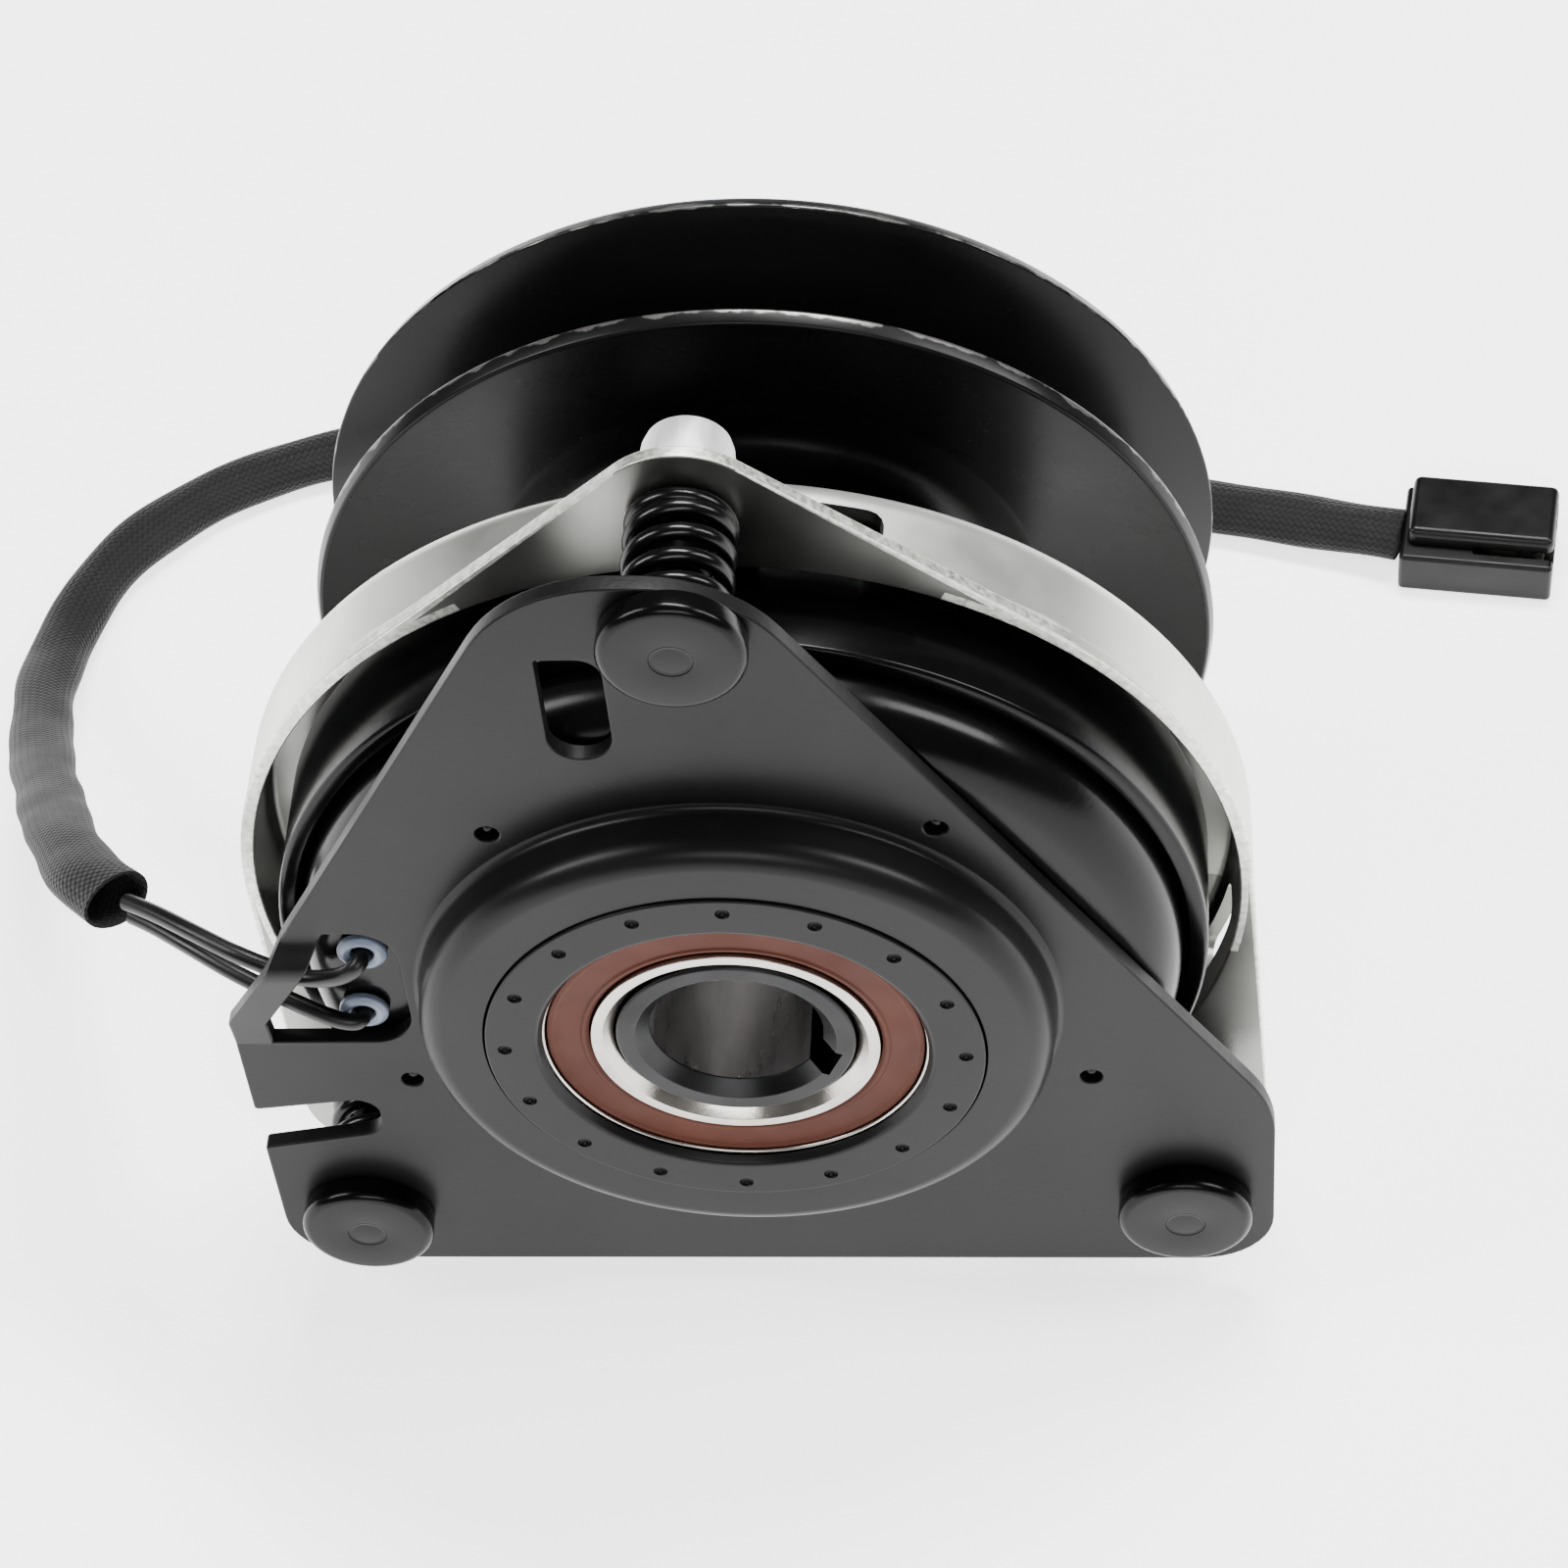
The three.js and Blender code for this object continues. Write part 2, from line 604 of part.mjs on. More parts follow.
// The middle line of a spring wire, with a closed turn at each end.
class SpringCurve extends THREE.Curve {
  constructor(back, front, turns, radius, closed) {
    super();
    Object.assign(this, { back, front, turns, radius, closed });
  }

  getPoint(t, target = new THREE.Vector3()) {
    const turn = t * this.turns;
    const share = THREE.MathUtils.clamp((turn - this.closed) / (this.turns - 2 * this.closed), 0, 1);
    const angle = 2 * Math.PI * turn;
    const height = this.back + (this.front - this.back) * share;
    return target.set(this.radius * Math.cos(angle), this.radius * Math.sin(angle), height);
  }
}

function polygon(radius, sides) {
  const points = Array.from({ length: sides }, (_, i) => new THREE.Vector2(...polar(radius, (i * 360) / sides)));
  return new THREE.Shape(points);
}

function brakeSpring() {
  const { turns, radius, wire, steps, closed } = BRAKE_SPRING;
  const back = BRAKE.rim + GAP + wire;
  const front = PLATE.back - GAP - wire;
  const curve = new SpringCurve(back, front, turns, radius, closed);
  const settings = { steps: turns * steps, extrudePath: curve, bevelEnabled: false };
  return new THREE.ExtrudeGeometry(polygon(wire, 6), settings);
}

const NUT = { acrossCorners: 8.3, hexBack: -39.5, cone: [7.8, 7.3], round: 1.8, back: -47.4 };

function adjustingNut() {
  const front = BRAKE.rim - BRAKE.sheet - GAP;
  const hex = pin(NUT.acrossCorners, NUT.hexBack, front, 0, 0, 6);
  const cone = turned([
    [0, NUT.back],
    [NUT.cone[1] - NUT.round, NUT.back],
    [NUT.cone[1], NUT.back + NUT.round],
    [NUT.cone[0], front - 1],
    [0, front - 1],
  ], 18);
  return cut(join(hex, cone), pin(STUD.shank + 0.4, NUT.back - 1, front + 1));
}

onShaft('brake_flange', brakeFlange(), MATERIALS.zinc);
const nut = adjustingNut();
STUD_ANGLES.forEach((angle, i) => {
  const place2d = polar(STUDS.circle, angle);
  onShaft(`brake_stud_${i + 1}`, stud.clone(), MATERIALS.blackCoat).position.set(...place2d, 0);
  onShaft(`brake_spring_${i + 1}`, brakeSpring(), MATERIALS.springSteel).position.set(...place2d, 0);
  onShaft(`adjusting_nut_${i + 1}`, nut.clone(), MATERIALS.zinc).position.set(...place2d, 0);
});

// ---------------------------------------------------------------- lead: grommets, wires, sleeve, connector

// Hand-laid routes, as [x, y, z] with the clutch lying on the floor.
const GROMMETS = { upper: [-61.2, 11.9], lower: [-63.2, -4.4] };
const GROMMET = { outer: 4.2, bore: 2.1, back: SHELL.front + GAP, front: -9.6 };

const WIRE_ROUTES = {
  upper: [
    [-61.2, 10.8, 11.9], [-61.2, 9.4, 11.9], [-62.2, 7.8, 11], [-65.5, 7.9, 8.3], [-71.3, 9.8, 5.4],
    [-77.5, 12.2, 4.9], [-84.5, 15.2, 5.4], [-91.5, 19.4, 5.1], [-99, 24.6, 3.6], [-105, 28.6, 1.8],
  ],
  lower: [
    [-63.2, 10.8, -4.4], [-63.2, 9.4, -4.4], [-64.4, 7.8, -4.2], [-68, 8.1, -3.6], [-74.2, 10.4, -2.6],
    [-80.6, 13.4, -1.8], [-86.7, 16.6, -1.1], [-93.2, 20.8, -0.9], [-100, 25.6, -1.5], [-104.8, 28.8, -2.4],
  ],
};

const SLEEVE_ROUTE = [
  [-107.6, 31, -1.2], [-113.4, 37.6, -4.4], [-119, 46.8, -10.4], [-124.8, 59, -19.2], [-130.6, 73, -30],
  [-136.6, 88.6, -42], [-142.4, 105, -54], [-147.2, 122, -64.6], [-150.4, 139.4, -73.4], [-150.6, 156, -79.6],
  [-146.6, 172, -81.2], [-137, 186.4, -81.2], [-121.8, 198.8, -81.2], [-101, 207.2, -81.2], [-76, 211.2, -81.2],
  [-48, 211.4, -81.2], [-18, 208.4, -81.2], [14, 203, -81.2], [46, 197, -81.2], [78, 191.2, -81.1],
  [96, 187.4, -80.3], [107, 184.2, -79.1], [115.4, 182, -78.4],
];

const curveThrough = (points) => new THREE.CatmullRomCurve3(points.map((p) => new THREE.Vector3(...p)));

function tube(points, section, steps) {
  const settings = { steps, extrudePath: curveThrough(points), bevelEnabled: false };
  return new THREE.ExtrudeGeometry(section, settings);
}

// An oval tube whose flat side stays level all along its route.
function levelTube(points, width, height, steps, sides = 8) {
  const curve = curveThrough(points);
  const vertices = [];
  for (let i = 0; i <= steps; i += 1) {
    const centre = curve.getPointAt(i / steps);
    const ahead = curve.getTangentAt(i / steps);
    const side = new THREE.Vector3(ahead.y, -ahead.x, 0).normalize();
    const up = new THREE.Vector3().crossVectors(side, ahead);
    for (let k = 0; k < sides; k += 1) {
      const [across, above] = polar(1, (k * 360) / sides);
      const corner = centre.clone();
      corner.addScaledVector(side, (across * width) / 2).addScaledVector(up, (above * height) / 2);
      vertices.push(...corner.toArray());
    }
  }
  const faces = [];
  const quad = (a, b, c, d) => faces.push(a, c, b, a, d, c);
  for (let i = 0; i < steps; i += 1) {
    for (let k = 0; k < sides; k += 1) {
      const [here, next] = [i * sides + k, i * sides + ((k + 1) % sides)];
      quad(here, next, next + sides, here + sides);
    }
  }
  const last = steps * sides;
  for (let k = 1; k < sides - 1; k += 1) {
    faces.push(0, k, k + 1, last, last + k + 1, last + k);
  }
  const geometry = new THREE.BufferGeometry();
  geometry.setAttribute('position', new THREE.Float32BufferAttribute(vertices, 3));
  geometry.setIndex(faces);
  geometry.computeVertexNormals();
  return geometry;
}

function connectorHousing() {
  const { length, width, height } = CONNECTOR;
  const half = width / 2;
  const body = extruded(roundedShape([
    [-length / 2, -half, 1.5],
    [length / 2, -half, 1.5],
    [length / 2, half, 1.5],
    [-length / 2, half, 1.5],
  ]), 0, height, 2);
  const wide = width + 2;
  const step = new THREE.BoxGeometry(length * 0.3, wide, 2)
    .translate(length * 0.36, 0, height);
  const cavity = (side) => new THREE.BoxGeometry(16, 5.6, 8.4)
    .translate(length / 2 - 6.8, side * 4.4, height / 2 - 0.6);
  return cut(body, step, cavity(1), cavity(-1));
}

for (const [side, [x, y]] of Object.entries(GROMMETS)) {
  const body = washer(GROMMET.bore, GROMMET.outer, GROMMET.back, GROMMET.front, 14);
  onShaft(`${side}_lead_grommet`, body, MATERIALS.nylon).position.set(x, y, 0);
  place(clutch, `${side}_lead_wire`, tube(WIRE_ROUTES[side], polygon(WIRE / 2, 8), 16), MATERIALS.insulation);
}

const sleeve = levelTube(SLEEVE_ROUTE, SLEEVE.width, SLEEVE.height, 44);
place(clutch, 'woven_sleeve', sleeve, MATERIALS.braid);

const connector = new THREE.Group();
connector.position.set(...CONNECTOR.centre, FLOOR);
connector.rotation.z = radians(CONNECTOR.yaw);
clutch.add(connector);
place(connector, 'connector_housing', connectorHousing(), MATERIALS.blackPlastic);
[1, -1].forEach((side, i) => {
  const blade = new THREE.BoxGeometry(12, 0.8, 5)
    .translate(CONNECTOR.length / 2 - 8, side * 4.4, CONNECTOR.height / 2 - 0.6);
  place(connector, `connector_terminal_${i + 1}`, blade, MATERIALS.tinned);
});

export default clutch;
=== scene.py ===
"""The looks of the electromagnetic clutch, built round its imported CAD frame.

Sizes are in millimetres until a mesh is made. Round pieces are drawn in the shaft frame as (radius, h), where
h runs along the shaft towards the field plate. A shaft-frame point (u, w, h) is (u, -h, w) in the CAD frame.
"""

import math

import bmesh
import bpy
from mathutils import Euler, Matrix, Vector
from mathutils.geometry import interpolate_bezier


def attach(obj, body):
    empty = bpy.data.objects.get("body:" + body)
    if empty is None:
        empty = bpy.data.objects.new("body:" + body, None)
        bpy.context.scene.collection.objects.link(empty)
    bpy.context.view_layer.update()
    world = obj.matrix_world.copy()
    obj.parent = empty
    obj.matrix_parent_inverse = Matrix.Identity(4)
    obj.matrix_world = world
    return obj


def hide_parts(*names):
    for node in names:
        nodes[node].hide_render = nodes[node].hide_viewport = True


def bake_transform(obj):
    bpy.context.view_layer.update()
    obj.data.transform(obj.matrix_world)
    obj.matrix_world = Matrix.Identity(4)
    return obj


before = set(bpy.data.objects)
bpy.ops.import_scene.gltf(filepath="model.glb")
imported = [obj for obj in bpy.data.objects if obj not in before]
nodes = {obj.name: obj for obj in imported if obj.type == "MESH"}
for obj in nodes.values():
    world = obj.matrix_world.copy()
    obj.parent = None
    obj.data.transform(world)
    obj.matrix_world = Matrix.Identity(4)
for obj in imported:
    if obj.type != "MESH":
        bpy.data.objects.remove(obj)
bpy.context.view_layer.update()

MM = 0.001
AROUND = 144
STUD_CIRCLE = 93.5
STUD_ANGLES = (91.3, 221.3, -38.7)
FLOOR = -84.9


# ---------------------------------------------------------------- points and outlines


def polar(radius, degrees):
    angle = math.radians(degrees)
    return radius * math.cos(angle), radius * math.sin(angle)


def rounded(corners, steps=5):
    """A closed outline with each corner (x, y, radius) turned into an arc."""
    points = []
    for i, (x, y, radius) in enumerate(corners):
        corner = Vector((x, y))
        before = (Vector(corners[i - 1][:2]) - corner).normalized()
        after = (Vector(corners[(i + 1) % len(corners)][:2]) - corner).normalized()
        half = before.angle(after) / 2
        if radius <= 0 or half > math.radians(89):
            points.append((x, y))
            continue
        reach = radius / math.tan(half)
        centre = corner + (before + after).normalized() * (radius / math.sin(half))
        start = corner + before * reach - centre
        end = corner + after * reach - centre
        turn = start.angle_signed(end)
        for step in range(steps + 1):
            arm = start.copy()
            arm.rotate(Matrix.Rotation(-turn * step / steps, 2))
            points.append(tuple(centre + arm))
    return points


def circle(radius, x=0.0, y=0.0, steps=48):
    return [(x + a, y + b) for a, b in (polar(radius, 360 * i / steps) for i in range(steps))]


def shaft(u, w, h):
    return Vector((u, -h, w)) * MM


# ---------------------------------------------------------------- meshes


def piece(name, points, faces, smooth=38):
    mesh = bpy.data.meshes.new(name)
    mesh.from_pydata([tuple(p) for p in points], [], faces)
    return finished(name, mesh, smooth)


def finished(name, mesh, smooth=38):
    """An object from a mesh, welded, facing out and smooth except at its sharp edges."""
    form = bmesh.new()
    form.from_mesh(mesh)
    bmesh.ops.remove_doubles(form, verts=form.verts, dist=2e-6)
    bmesh.ops.dissolve_degenerate(form, edges=form.edges, dist=1e-6)
    bmesh.ops.recalc_face_normals(form, faces=form.faces)
    form.to_mesh(mesh)
    form.free()
    mesh.shade_smooth()
    mesh.set_sharp_from_angle(angle=math.radians(smooth))
    thing = bpy.data.objects.new(name, mesh)
    bpy.context.scene.collection.objects.link(thing)
    return thing


def evened(thing):
    """Lets the big faces of a sheet set its shading."""
    modifier = thing.modifiers.new("even", "WEIGHTED_NORMAL")
    modifier.mode = "FACE_AREA"
    modifier.keep_sharp = True
    return thing


def lathe(name, section, steps=AROUND, centre=(0, 0)):
    """A ring turned from a closed section of (radius, h) points."""
    count = len(section)
    points = []
    for i in range(steps):
        cos, sin = polar(1, 360 * i / steps)
        points += [shaft(centre[0] + r * cos, centre[1] + r * sin, h) for r, h in section]
    faces = []
    for i in range(steps):
        a, b = i * count, (i + 1) % steps * count
        faces += [(a + j, a + (j + 1) % count, b + (j + 1) % count, b + j) for j in range(count)]
    return piece(name, points, faces)


def flat(name, loops, back, front, edge=0.35):
    """A sheet with rounded edges, cut to closed loops in the shaft frame: its outline, then its holes."""
    curve = bpy.data.curves.new(name, "CURVE")
    curve.dimensions = "2D"
    curve.fill_mode = "BOTH"
    curve.extrude = ((front - back) / 2 - edge) * MM
    curve.bevel_depth = edge * MM
    curve.bevel_resolution = 2
    curve.offset = -edge * MM
    for loop in loops:
        spline = curve.splines.new("POLY")
        spline.points.add(len(loop) - 1)
        spline.points.foreach_set("co", [c for x, y in loop for c in (x * MM, y * MM, 0, 1)])
        spline.use_cyclic_u = True
    holder = bpy.data.objects.new(name + "_curve", curve)
    bpy.context.scene.collection.objects.link(holder)
    bpy.context.view_layer.update()
    mesh = bpy.data.meshes.new_from_object(holder.evaluated_get(bpy.context.evaluated_depsgraph_get()))
    bpy.data.objects.remove(holder)
    mesh.name = name
    mesh.transform(Matrix.Rotation(math.pi / 2, 4, "X") @ Matrix.Translation((0, 0, (front + back) / 2 * MM)))
    return finished(name, mesh)


def box(name, size, centre, turn=0.0, edge=0.0):
    """A block in the CAD frame, turned about Y, with its edges rounded."""
    form = bmesh.new()
    bmesh.ops.create_cube(form, size=1)
    bmesh.ops.scale(form, vec=Vector(size) * MM, verts=form.verts)
    if edge:
        bmesh.ops.bevel(form, geom=form.edges, offset=edge * MM, segments=3, profile=0.5, affect="EDGES")
    mesh = bpy.data.meshes.new(name)
    form.to_mesh(mesh)
    form.free()
    mesh.transform(Matrix.Translation(Vector(centre) * MM) @ Matrix.Rotation(math.radians(turn), 4, "Y"))
    return finished(name, mesh)


def ball(name, radius, centre):
    form = bmesh.new()
    bmesh.ops.create_uvsphere(form, u_segments=16, v_segments=10, radius=radius * MM)
    mesh = bpy.data.meshes.new(name)
    form.to_mesh(mesh)
    form.free()
    mesh.transform(Matrix.Translation(centre))
    return finished(name, mesh)


def combine(name, first, others, how="UNION", smooth=38):
    """The first object joined with, or cut by, the others, which are used up."""
    for other in others:
        modifier = first.modifiers.new(how, "BOOLEAN")
        modifier.operation = how
        modifier.solver = "EXACT"
        modifier.object = other
    bpy.context.view_layer.update()
    mesh = bpy.data.meshes.new_from_object(first.evaluated_get(bpy.context.evaluated_depsgraph_get()))
    for thing in (first, *others):
        bpy.data.objects.remove(thing)
    mesh.name = name
    result = evened(finished(name, mesh, smooth))
    result.name = name
    return result


def merged(name, things):
    """One object that holds several separate ones."""
    form = bmesh.new()
    for thing in things:
        thing.data.transform(thing.matrix_world)
        form.from_mesh(thing.data)
        bpy.data.objects.remove(thing)
    mesh = bpy.data.meshes.new(name)
    form.to_mesh(mesh)
    form.free()
    return finished(name, mesh)


def through(points, per_stretch=8):
    """A smooth line through points, with its tangents taken from their neighbours."""
    knots = [Vector(p) for p in points]
    line = []
    for i in range(len(knots) - 1):
        before, after = knots[max(i - 1, 0)], knots[min(i + 2, len(knots) - 1)]
        here, there = knots[i], knots[i + 1]
        leaving, arriving = here + (there - before) / 6, there - (after - here) / 6
        line += interpolate_bezier(here, leaving, arriving, there, per_stretch + 1)[:-1]
    return line + [knots[-1]]


def frames(line):
    """Each point of a line in mm, with the directions across it and up from it."""
    stations = []
    for i, p in enumerate(line):
        ahead = (line[min(i + 1, len(line) - 1)] - line[max(i - 1, 0)]).normalized()
        side = ahead.cross(Vector((0, 0, 1))).normalized()
        stations.append((p, side, side.cross(ahead)))
    return stations


def ring_at(station, section):
    p, side, up = station
    return [(p + side * a + up * b) * MM for a, b in section]


def band(a, b, count):
    """The faces between two rings of points, numbered from a and from b."""
    return [(a + k, b + k, b + (k + 1) % count, a + (k + 1) % count) for k in range(count)]


def skin(name, rings, smooth=60):
    """A closed tube through rings of points."""
    count = len(rings[0])
    points = [p for ring in rings for p in ring]
    faces = []
    for i in range(len(rings) - 1):
        faces += band(i * count, (i + 1) * count, count)
    faces += [tuple(range(count)), tuple(range(len(points) - 1, len(points) - 1 - count, -1))]
    return piece(name, points, faces, smooth)


# ---------------------------------------------------------------- materials


class Nodes:
    """A material being made, with the few kinds of node that it needs."""

    def __init__(self, name, **shader):
        self.material = bpy.data.materials.new(name)
        self.material.use_nodes = True
        self.tree = self.material.node_tree
        self.shader = self.tree.nodes["Principled BSDF"]
        for socket, value in shader.items():
            self.shader.inputs[socket.replace("_", " ")].default_value = value
        self.where = self.new("ShaderNodeTexCoord").outputs["Object"]

    def new(self, kind, **settings):
        node = self.tree.nodes.new(kind)
        for key, value in settings.items():
            setattr(node, key, value)
        return node

    def link(self, source, target):
        self.tree.links.new(source, target)

    def math(self, operation, a, b=0.0, c=0.0):
        node = self.new("ShaderNodeMath", operation=operation)
        for socket, value in zip(node.inputs, (a, b, c)):
            if isinstance(value, (int, float)):
                socket.default_value = value
            else:
                self.link(value, socket)
        return node.outputs[0]

    def stretched(self, x, y, z):
        node = self.new("ShaderNodeVectorMath", operation="MULTIPLY")
        self.link(self.where, node.inputs[0])
        node.inputs[1].default_value = (x, y, z)
        return node.outputs[0]

    def noise(self, scale, detail=3.0, vector=None, roughness=0.5):
        node = self.new("ShaderNodeTexNoise")
        node.inputs["Scale"].default_value = scale
        node.inputs["Detail"].default_value = detail
        node.inputs["Roughness"].default_value = roughness
        self.link(vector or self.where, node.inputs["Vector"])
        return node.outputs["Fac"]

    def ramp(self, value, *stops):
        node = self.new("ShaderNodeValToRGB")
        ramp = node.color_ramp
        while len(ramp.elements) < len(stops):
            ramp.elements.new(0.5)
        for element, (place, colour) in zip(ramp.elements, stops):
            element.position = place
            element.color = (*colour, 1) if hasattr(colour, "__len__") else (colour, colour, colour, 1)
        self.link(value, node.inputs["Fac"])
        return node.outputs["Color"]

    def radius(self):
        """The distance from the shaft axis, in metres."""
        split = self.new("ShaderNodeSeparateXYZ")
        self.link(self.where, split.inputs[0])
        x, z = split.outputs["X"], split.outputs["Z"]
        return self.math("SQRT", self.math("ADD", self.math("MULTIPLY", x, x), self.math("MULTIPLY", z, z)))

    def mix(self, share, a, b):
        node = self.new("ShaderNodeMix", data_type="RGBA")
        self.link(share, node.inputs["Factor"])
        for socket, value in ((node.inputs[6], a), (node.inputs[7], b)):
            if hasattr(value, "__len__"):
                socket.default_value = (*value, 1)
            else:
                self.link(value, socket)
        return node.outputs[2]

    def colour(self, source):
        self.link(source, self.shader.inputs["Base Color"])

    def rough(self, source):
        self.link(source, self.shader.inputs["Roughness"])

    def bump(self, height, strength, distance):
        node = self.new("ShaderNodeBump")
        node.inputs["Strength"].default_value = strength
        node.inputs["Distance"].default_value = distance * MM
        self.link(height, node.inputs["Height"])
        self.link(node.outputs["Normal"], self.shader.inputs["Normal"])


def coat(name, dark, light, smooth, dull, level, bumps=0.25):
    """Glossy black paint over steel, with faint orange peel and dusty, duller patches."""
    made = Nodes(name, Metallic=0.0, IOR=1.5, Specular_IOR_Level=level)
    patches = made.noise(28, 4)
    made.colour(made.ramp(patches, (0.3, dark), (0.72, light)))
    made.rough(made.ramp(made.noise(46, 5), (0.3, smooth), (0.75, dull)))
    made.bump(made.noise(900, 2), bumps, 0.05)
    return made.material


def metal(name, dark, light, smooth, dull, scale, stretch=(1, 1, 1), bumps=0.2):
    made = Nodes(name, Metallic=1.0)
    where = made.stretched(*stretch)
    made.colour(made.ramp(made.noise(scale, 5, where), (0.3, dark), (0.7, light)))
    made.rough(made.ramp(made.noise(scale * 1.7, 4, where), (0.3, smooth), (0.7, dull)))
    made.bump(made.noise(1400, 3, where), bumps, 0.05)
    return made.material


def plastic(name, dark, light, smooth, dull, grain=1500, **shader):
    made = Nodes(name, **shader)
    made.colour(made.ramp(made.noise(70, 4), (0.3, dark), (0.7, light)))
    made.rough(made.ramp(made.noise(120, 4), (0.3, smooth), (0.7, dull)))
    made.bump(made.noise(grain, 2), 0.2, 0.05)
    return made.material


def pulley_coat():
    """The pulley's black paint, worn off at the very rims where the sheared steel shows."""
    made = Nodes("pulley_coat", IOR=1.5)
    rim = made.math("MULTIPLY_ADD", made.noise(220, 4), 0.0011, made.radius())
    bare = made.math("SMOOTH_MIN", made.math("MULTIPLY", made.math("SUBTRACT", rim, 0.0791), 9000), 1, 0.1)
    bare = made.math("MAXIMUM", bare, 0)
    paint = made.ramp(made.noise(22, 5), (0.3, (0.0015, 0.0015, 0.0017)), (0.75, (0.0035, 0.0035, 0.0037)))
    made.colour(made.mix(bare, paint, (0.12, 0.118, 0.115)))
    made.rough(made.ramp(made.noise(60, 4), (0.3, 0.24), (0.7, 0.32)))
    made.shader.inputs["Specular IOR Level"].default_value = 0.15
    made.link(made.math("MULTIPLY", bare, 0.8), made.shader.inputs["Metallic"])
    made.bump(made.noise(700, 2), 0.2, 0.05)
    return made.material


def weave():
    """A plain braid in black yarn, laid out along the sleeve's own UV map, whose unit is 1 mm."""
    made = Nodes("woven_sleeve", Specular_IOR_Level=0.2, Sheen_Weight=0.06, Sheen_Roughness=0.5)
    uv = made.new("ShaderNodeUVMap", uv_map="weave")
    split = made.new("ShaderNodeSeparateXYZ")
    made.link(uv.outputs[0], split.inputs[0])
    along, across = split.outputs["X"], split.outputs["Y"]
    a = made.math("SINE", made.math("MULTIPLY", along, math.tau / 1.5))
    b = made.math("SINE", made.math("MULTIPLY", across, math.tau / 1.25))
    warp = made.math("MULTIPLY", a, b)
    rib = made.math("ABSOLUTE", made.math("SINE", made.math("MULTIPLY", across, math.tau / 2.5)))
    height = made.math("ADD", made.math("MULTIPLY", warp, 0.35), made.math("MULTIPLY", rib, 0.4))
    height = made.math("ADD", height, made.math("MULTIPLY", made.noise(2600, 2), 0.35))
    made.colour(made.ramp(height, (0.15, (0.0015, 0.0015, 0.0017)), (0.85, (0.008, 0.008, 0.0083))))
    made.rough(made.ramp(made.noise(90, 3), (0.3, 0.6), (0.7, 0.75)))
    made.bump(height, 0.8, 0.35)
    return made.material


BLACK = coat("black_coat", (0.0042, 0.004, 0.004), (0.007, 0.0067, 0.0066), 0.26, 0.38, 0.12)
BLACK_SHINY = coat("black_coat_glossy", (0.001, 0.001, 0.0012), (0.002, 0.002, 0.0022), 0.16, 0.26, 0.13)
BLACK_EDGE = coat("black_sheared_edge", (0.001, 0.001, 0.0012), (0.008, 0.0077, 0.0075), 0.35, 0.6, 0.15, 0.9)
PULLEY = pulley_coat()
ZINC = metal("zinc_plate", (0.56, 0.56, 0.54), (0.74, 0.74, 0.7), 0.34, 0.5, 26)
# A darker copy of the zinc, laid on the flange's inward faces as painted shade.
ZINC_PAINTED_SHADE = metal("zinc_plate_painted_shade", (0.2, 0.2, 0.19), (0.34, 0.34, 0.32), 0.26, 0.36, 26)
ZINC_EDGE = metal("zinc_sheared_edge", (0.5, 0.5, 0.46), (0.85, 0.85, 0.8), 0.3, 0.55, 700, bumps=0.6)
NUT = metal("zinc_nut", (0.55, 0.55, 0.55), (0.85, 0.85, 0.86), 0.5, 0.7, 240, (1, 0.15, 1), 0.5)
STEEL = metal("ground_steel", (0.4, 0.375, 0.345), (0.52, 0.49, 0.45), 0.16, 0.26, 90)
# Bare machined steel for the bore, made lighter and streaked along the shaft as a painted highlight.
BORE_AND_HIGHLIGHT = metal("bored_steel_and_painted_highlight", (0.35, 0.34, 0.34), (0.8, 0.79, 0.78), 0.2, 0.36, 90, (1, 0.2, 1), 0.6)
DARK = metal("dark_steel", (0.012, 0.012, 0.0125), (0.028, 0.028, 0.029), 0.28, 0.4, 60)
COPPER = metal("enamelled_copper", (0.35, 0.12, 0.05), (0.6, 0.25, 0.11), 0.25, 0.4, 200, (1, 6, 1))
SEAL = plastic(
    "seal_rubber", (0.056, 0.0155, 0.009), (0.076, 0.0225, 0.0135), 0.42, 0.58, Specular_IOR_Level=0.1,
)
RESIN = plastic("potting_resin", (0.01, 0.01, 0.013), (0.022, 0.022, 0.027), 0.4, 0.6)
NYLON = plastic("milky_nylon", (0.1, 0.125, 0.18), (0.16, 0.19, 0.25), 0.28, 0.4)
WIRE = plastic(
    "wire_insulation", (0.0015, 0.0015, 0.0017), (0.003, 0.003, 0.0032), 0.3, 0.42, Specular_IOR_Level=0.3,
)
MOULDED = plastic(
    "moulded_plastic", (0.001, 0.001, 0.0012), (0.0025, 0.0025, 0.0027), 0.3, 0.44, 1100,
    Specular_IOR_Level=0.2,
)
TINNED = metal("tinned_brass", (0.6, 0.58, 0.52), (0.8, 0.78, 0.72), 0.2, 0.35, 120)
SPRING = coat("spring_coat", (0.0008, 0.0008, 0.001), (0.0018, 0.0018, 0.002), 0.18, 0.26, 0.25)
WEAVE = weave()


def dress(thing, material, body=None, replaces=()):
    """Gives a piece its material and slot, and puts it on its body in place of CAD nodes."""
    thing.data.materials.clear()
    thing.data.materials.append(material)
    if body:
        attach(thing, body)
    if replaces:
        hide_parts(*replaces)
    return thing


def second_material(thing, material, where):
    """Puts a second material on the faces that where(centre in mm, normal) picks."""
    thing.data.materials.append(material)
    for face in thing.data.polygons:
        if where(face.center / MM, face.normal):
            face.material_index = len(thing.data.materials) - 1


# ---------------------------------------------------------------- camera

CAMERA_PLACE = Vector((75.75, -438.14, 616.94)) * MM
CAMERA_TURN = Euler([math.radians(angle) for angle in (38.6871, 4.2647, 2.8367)])

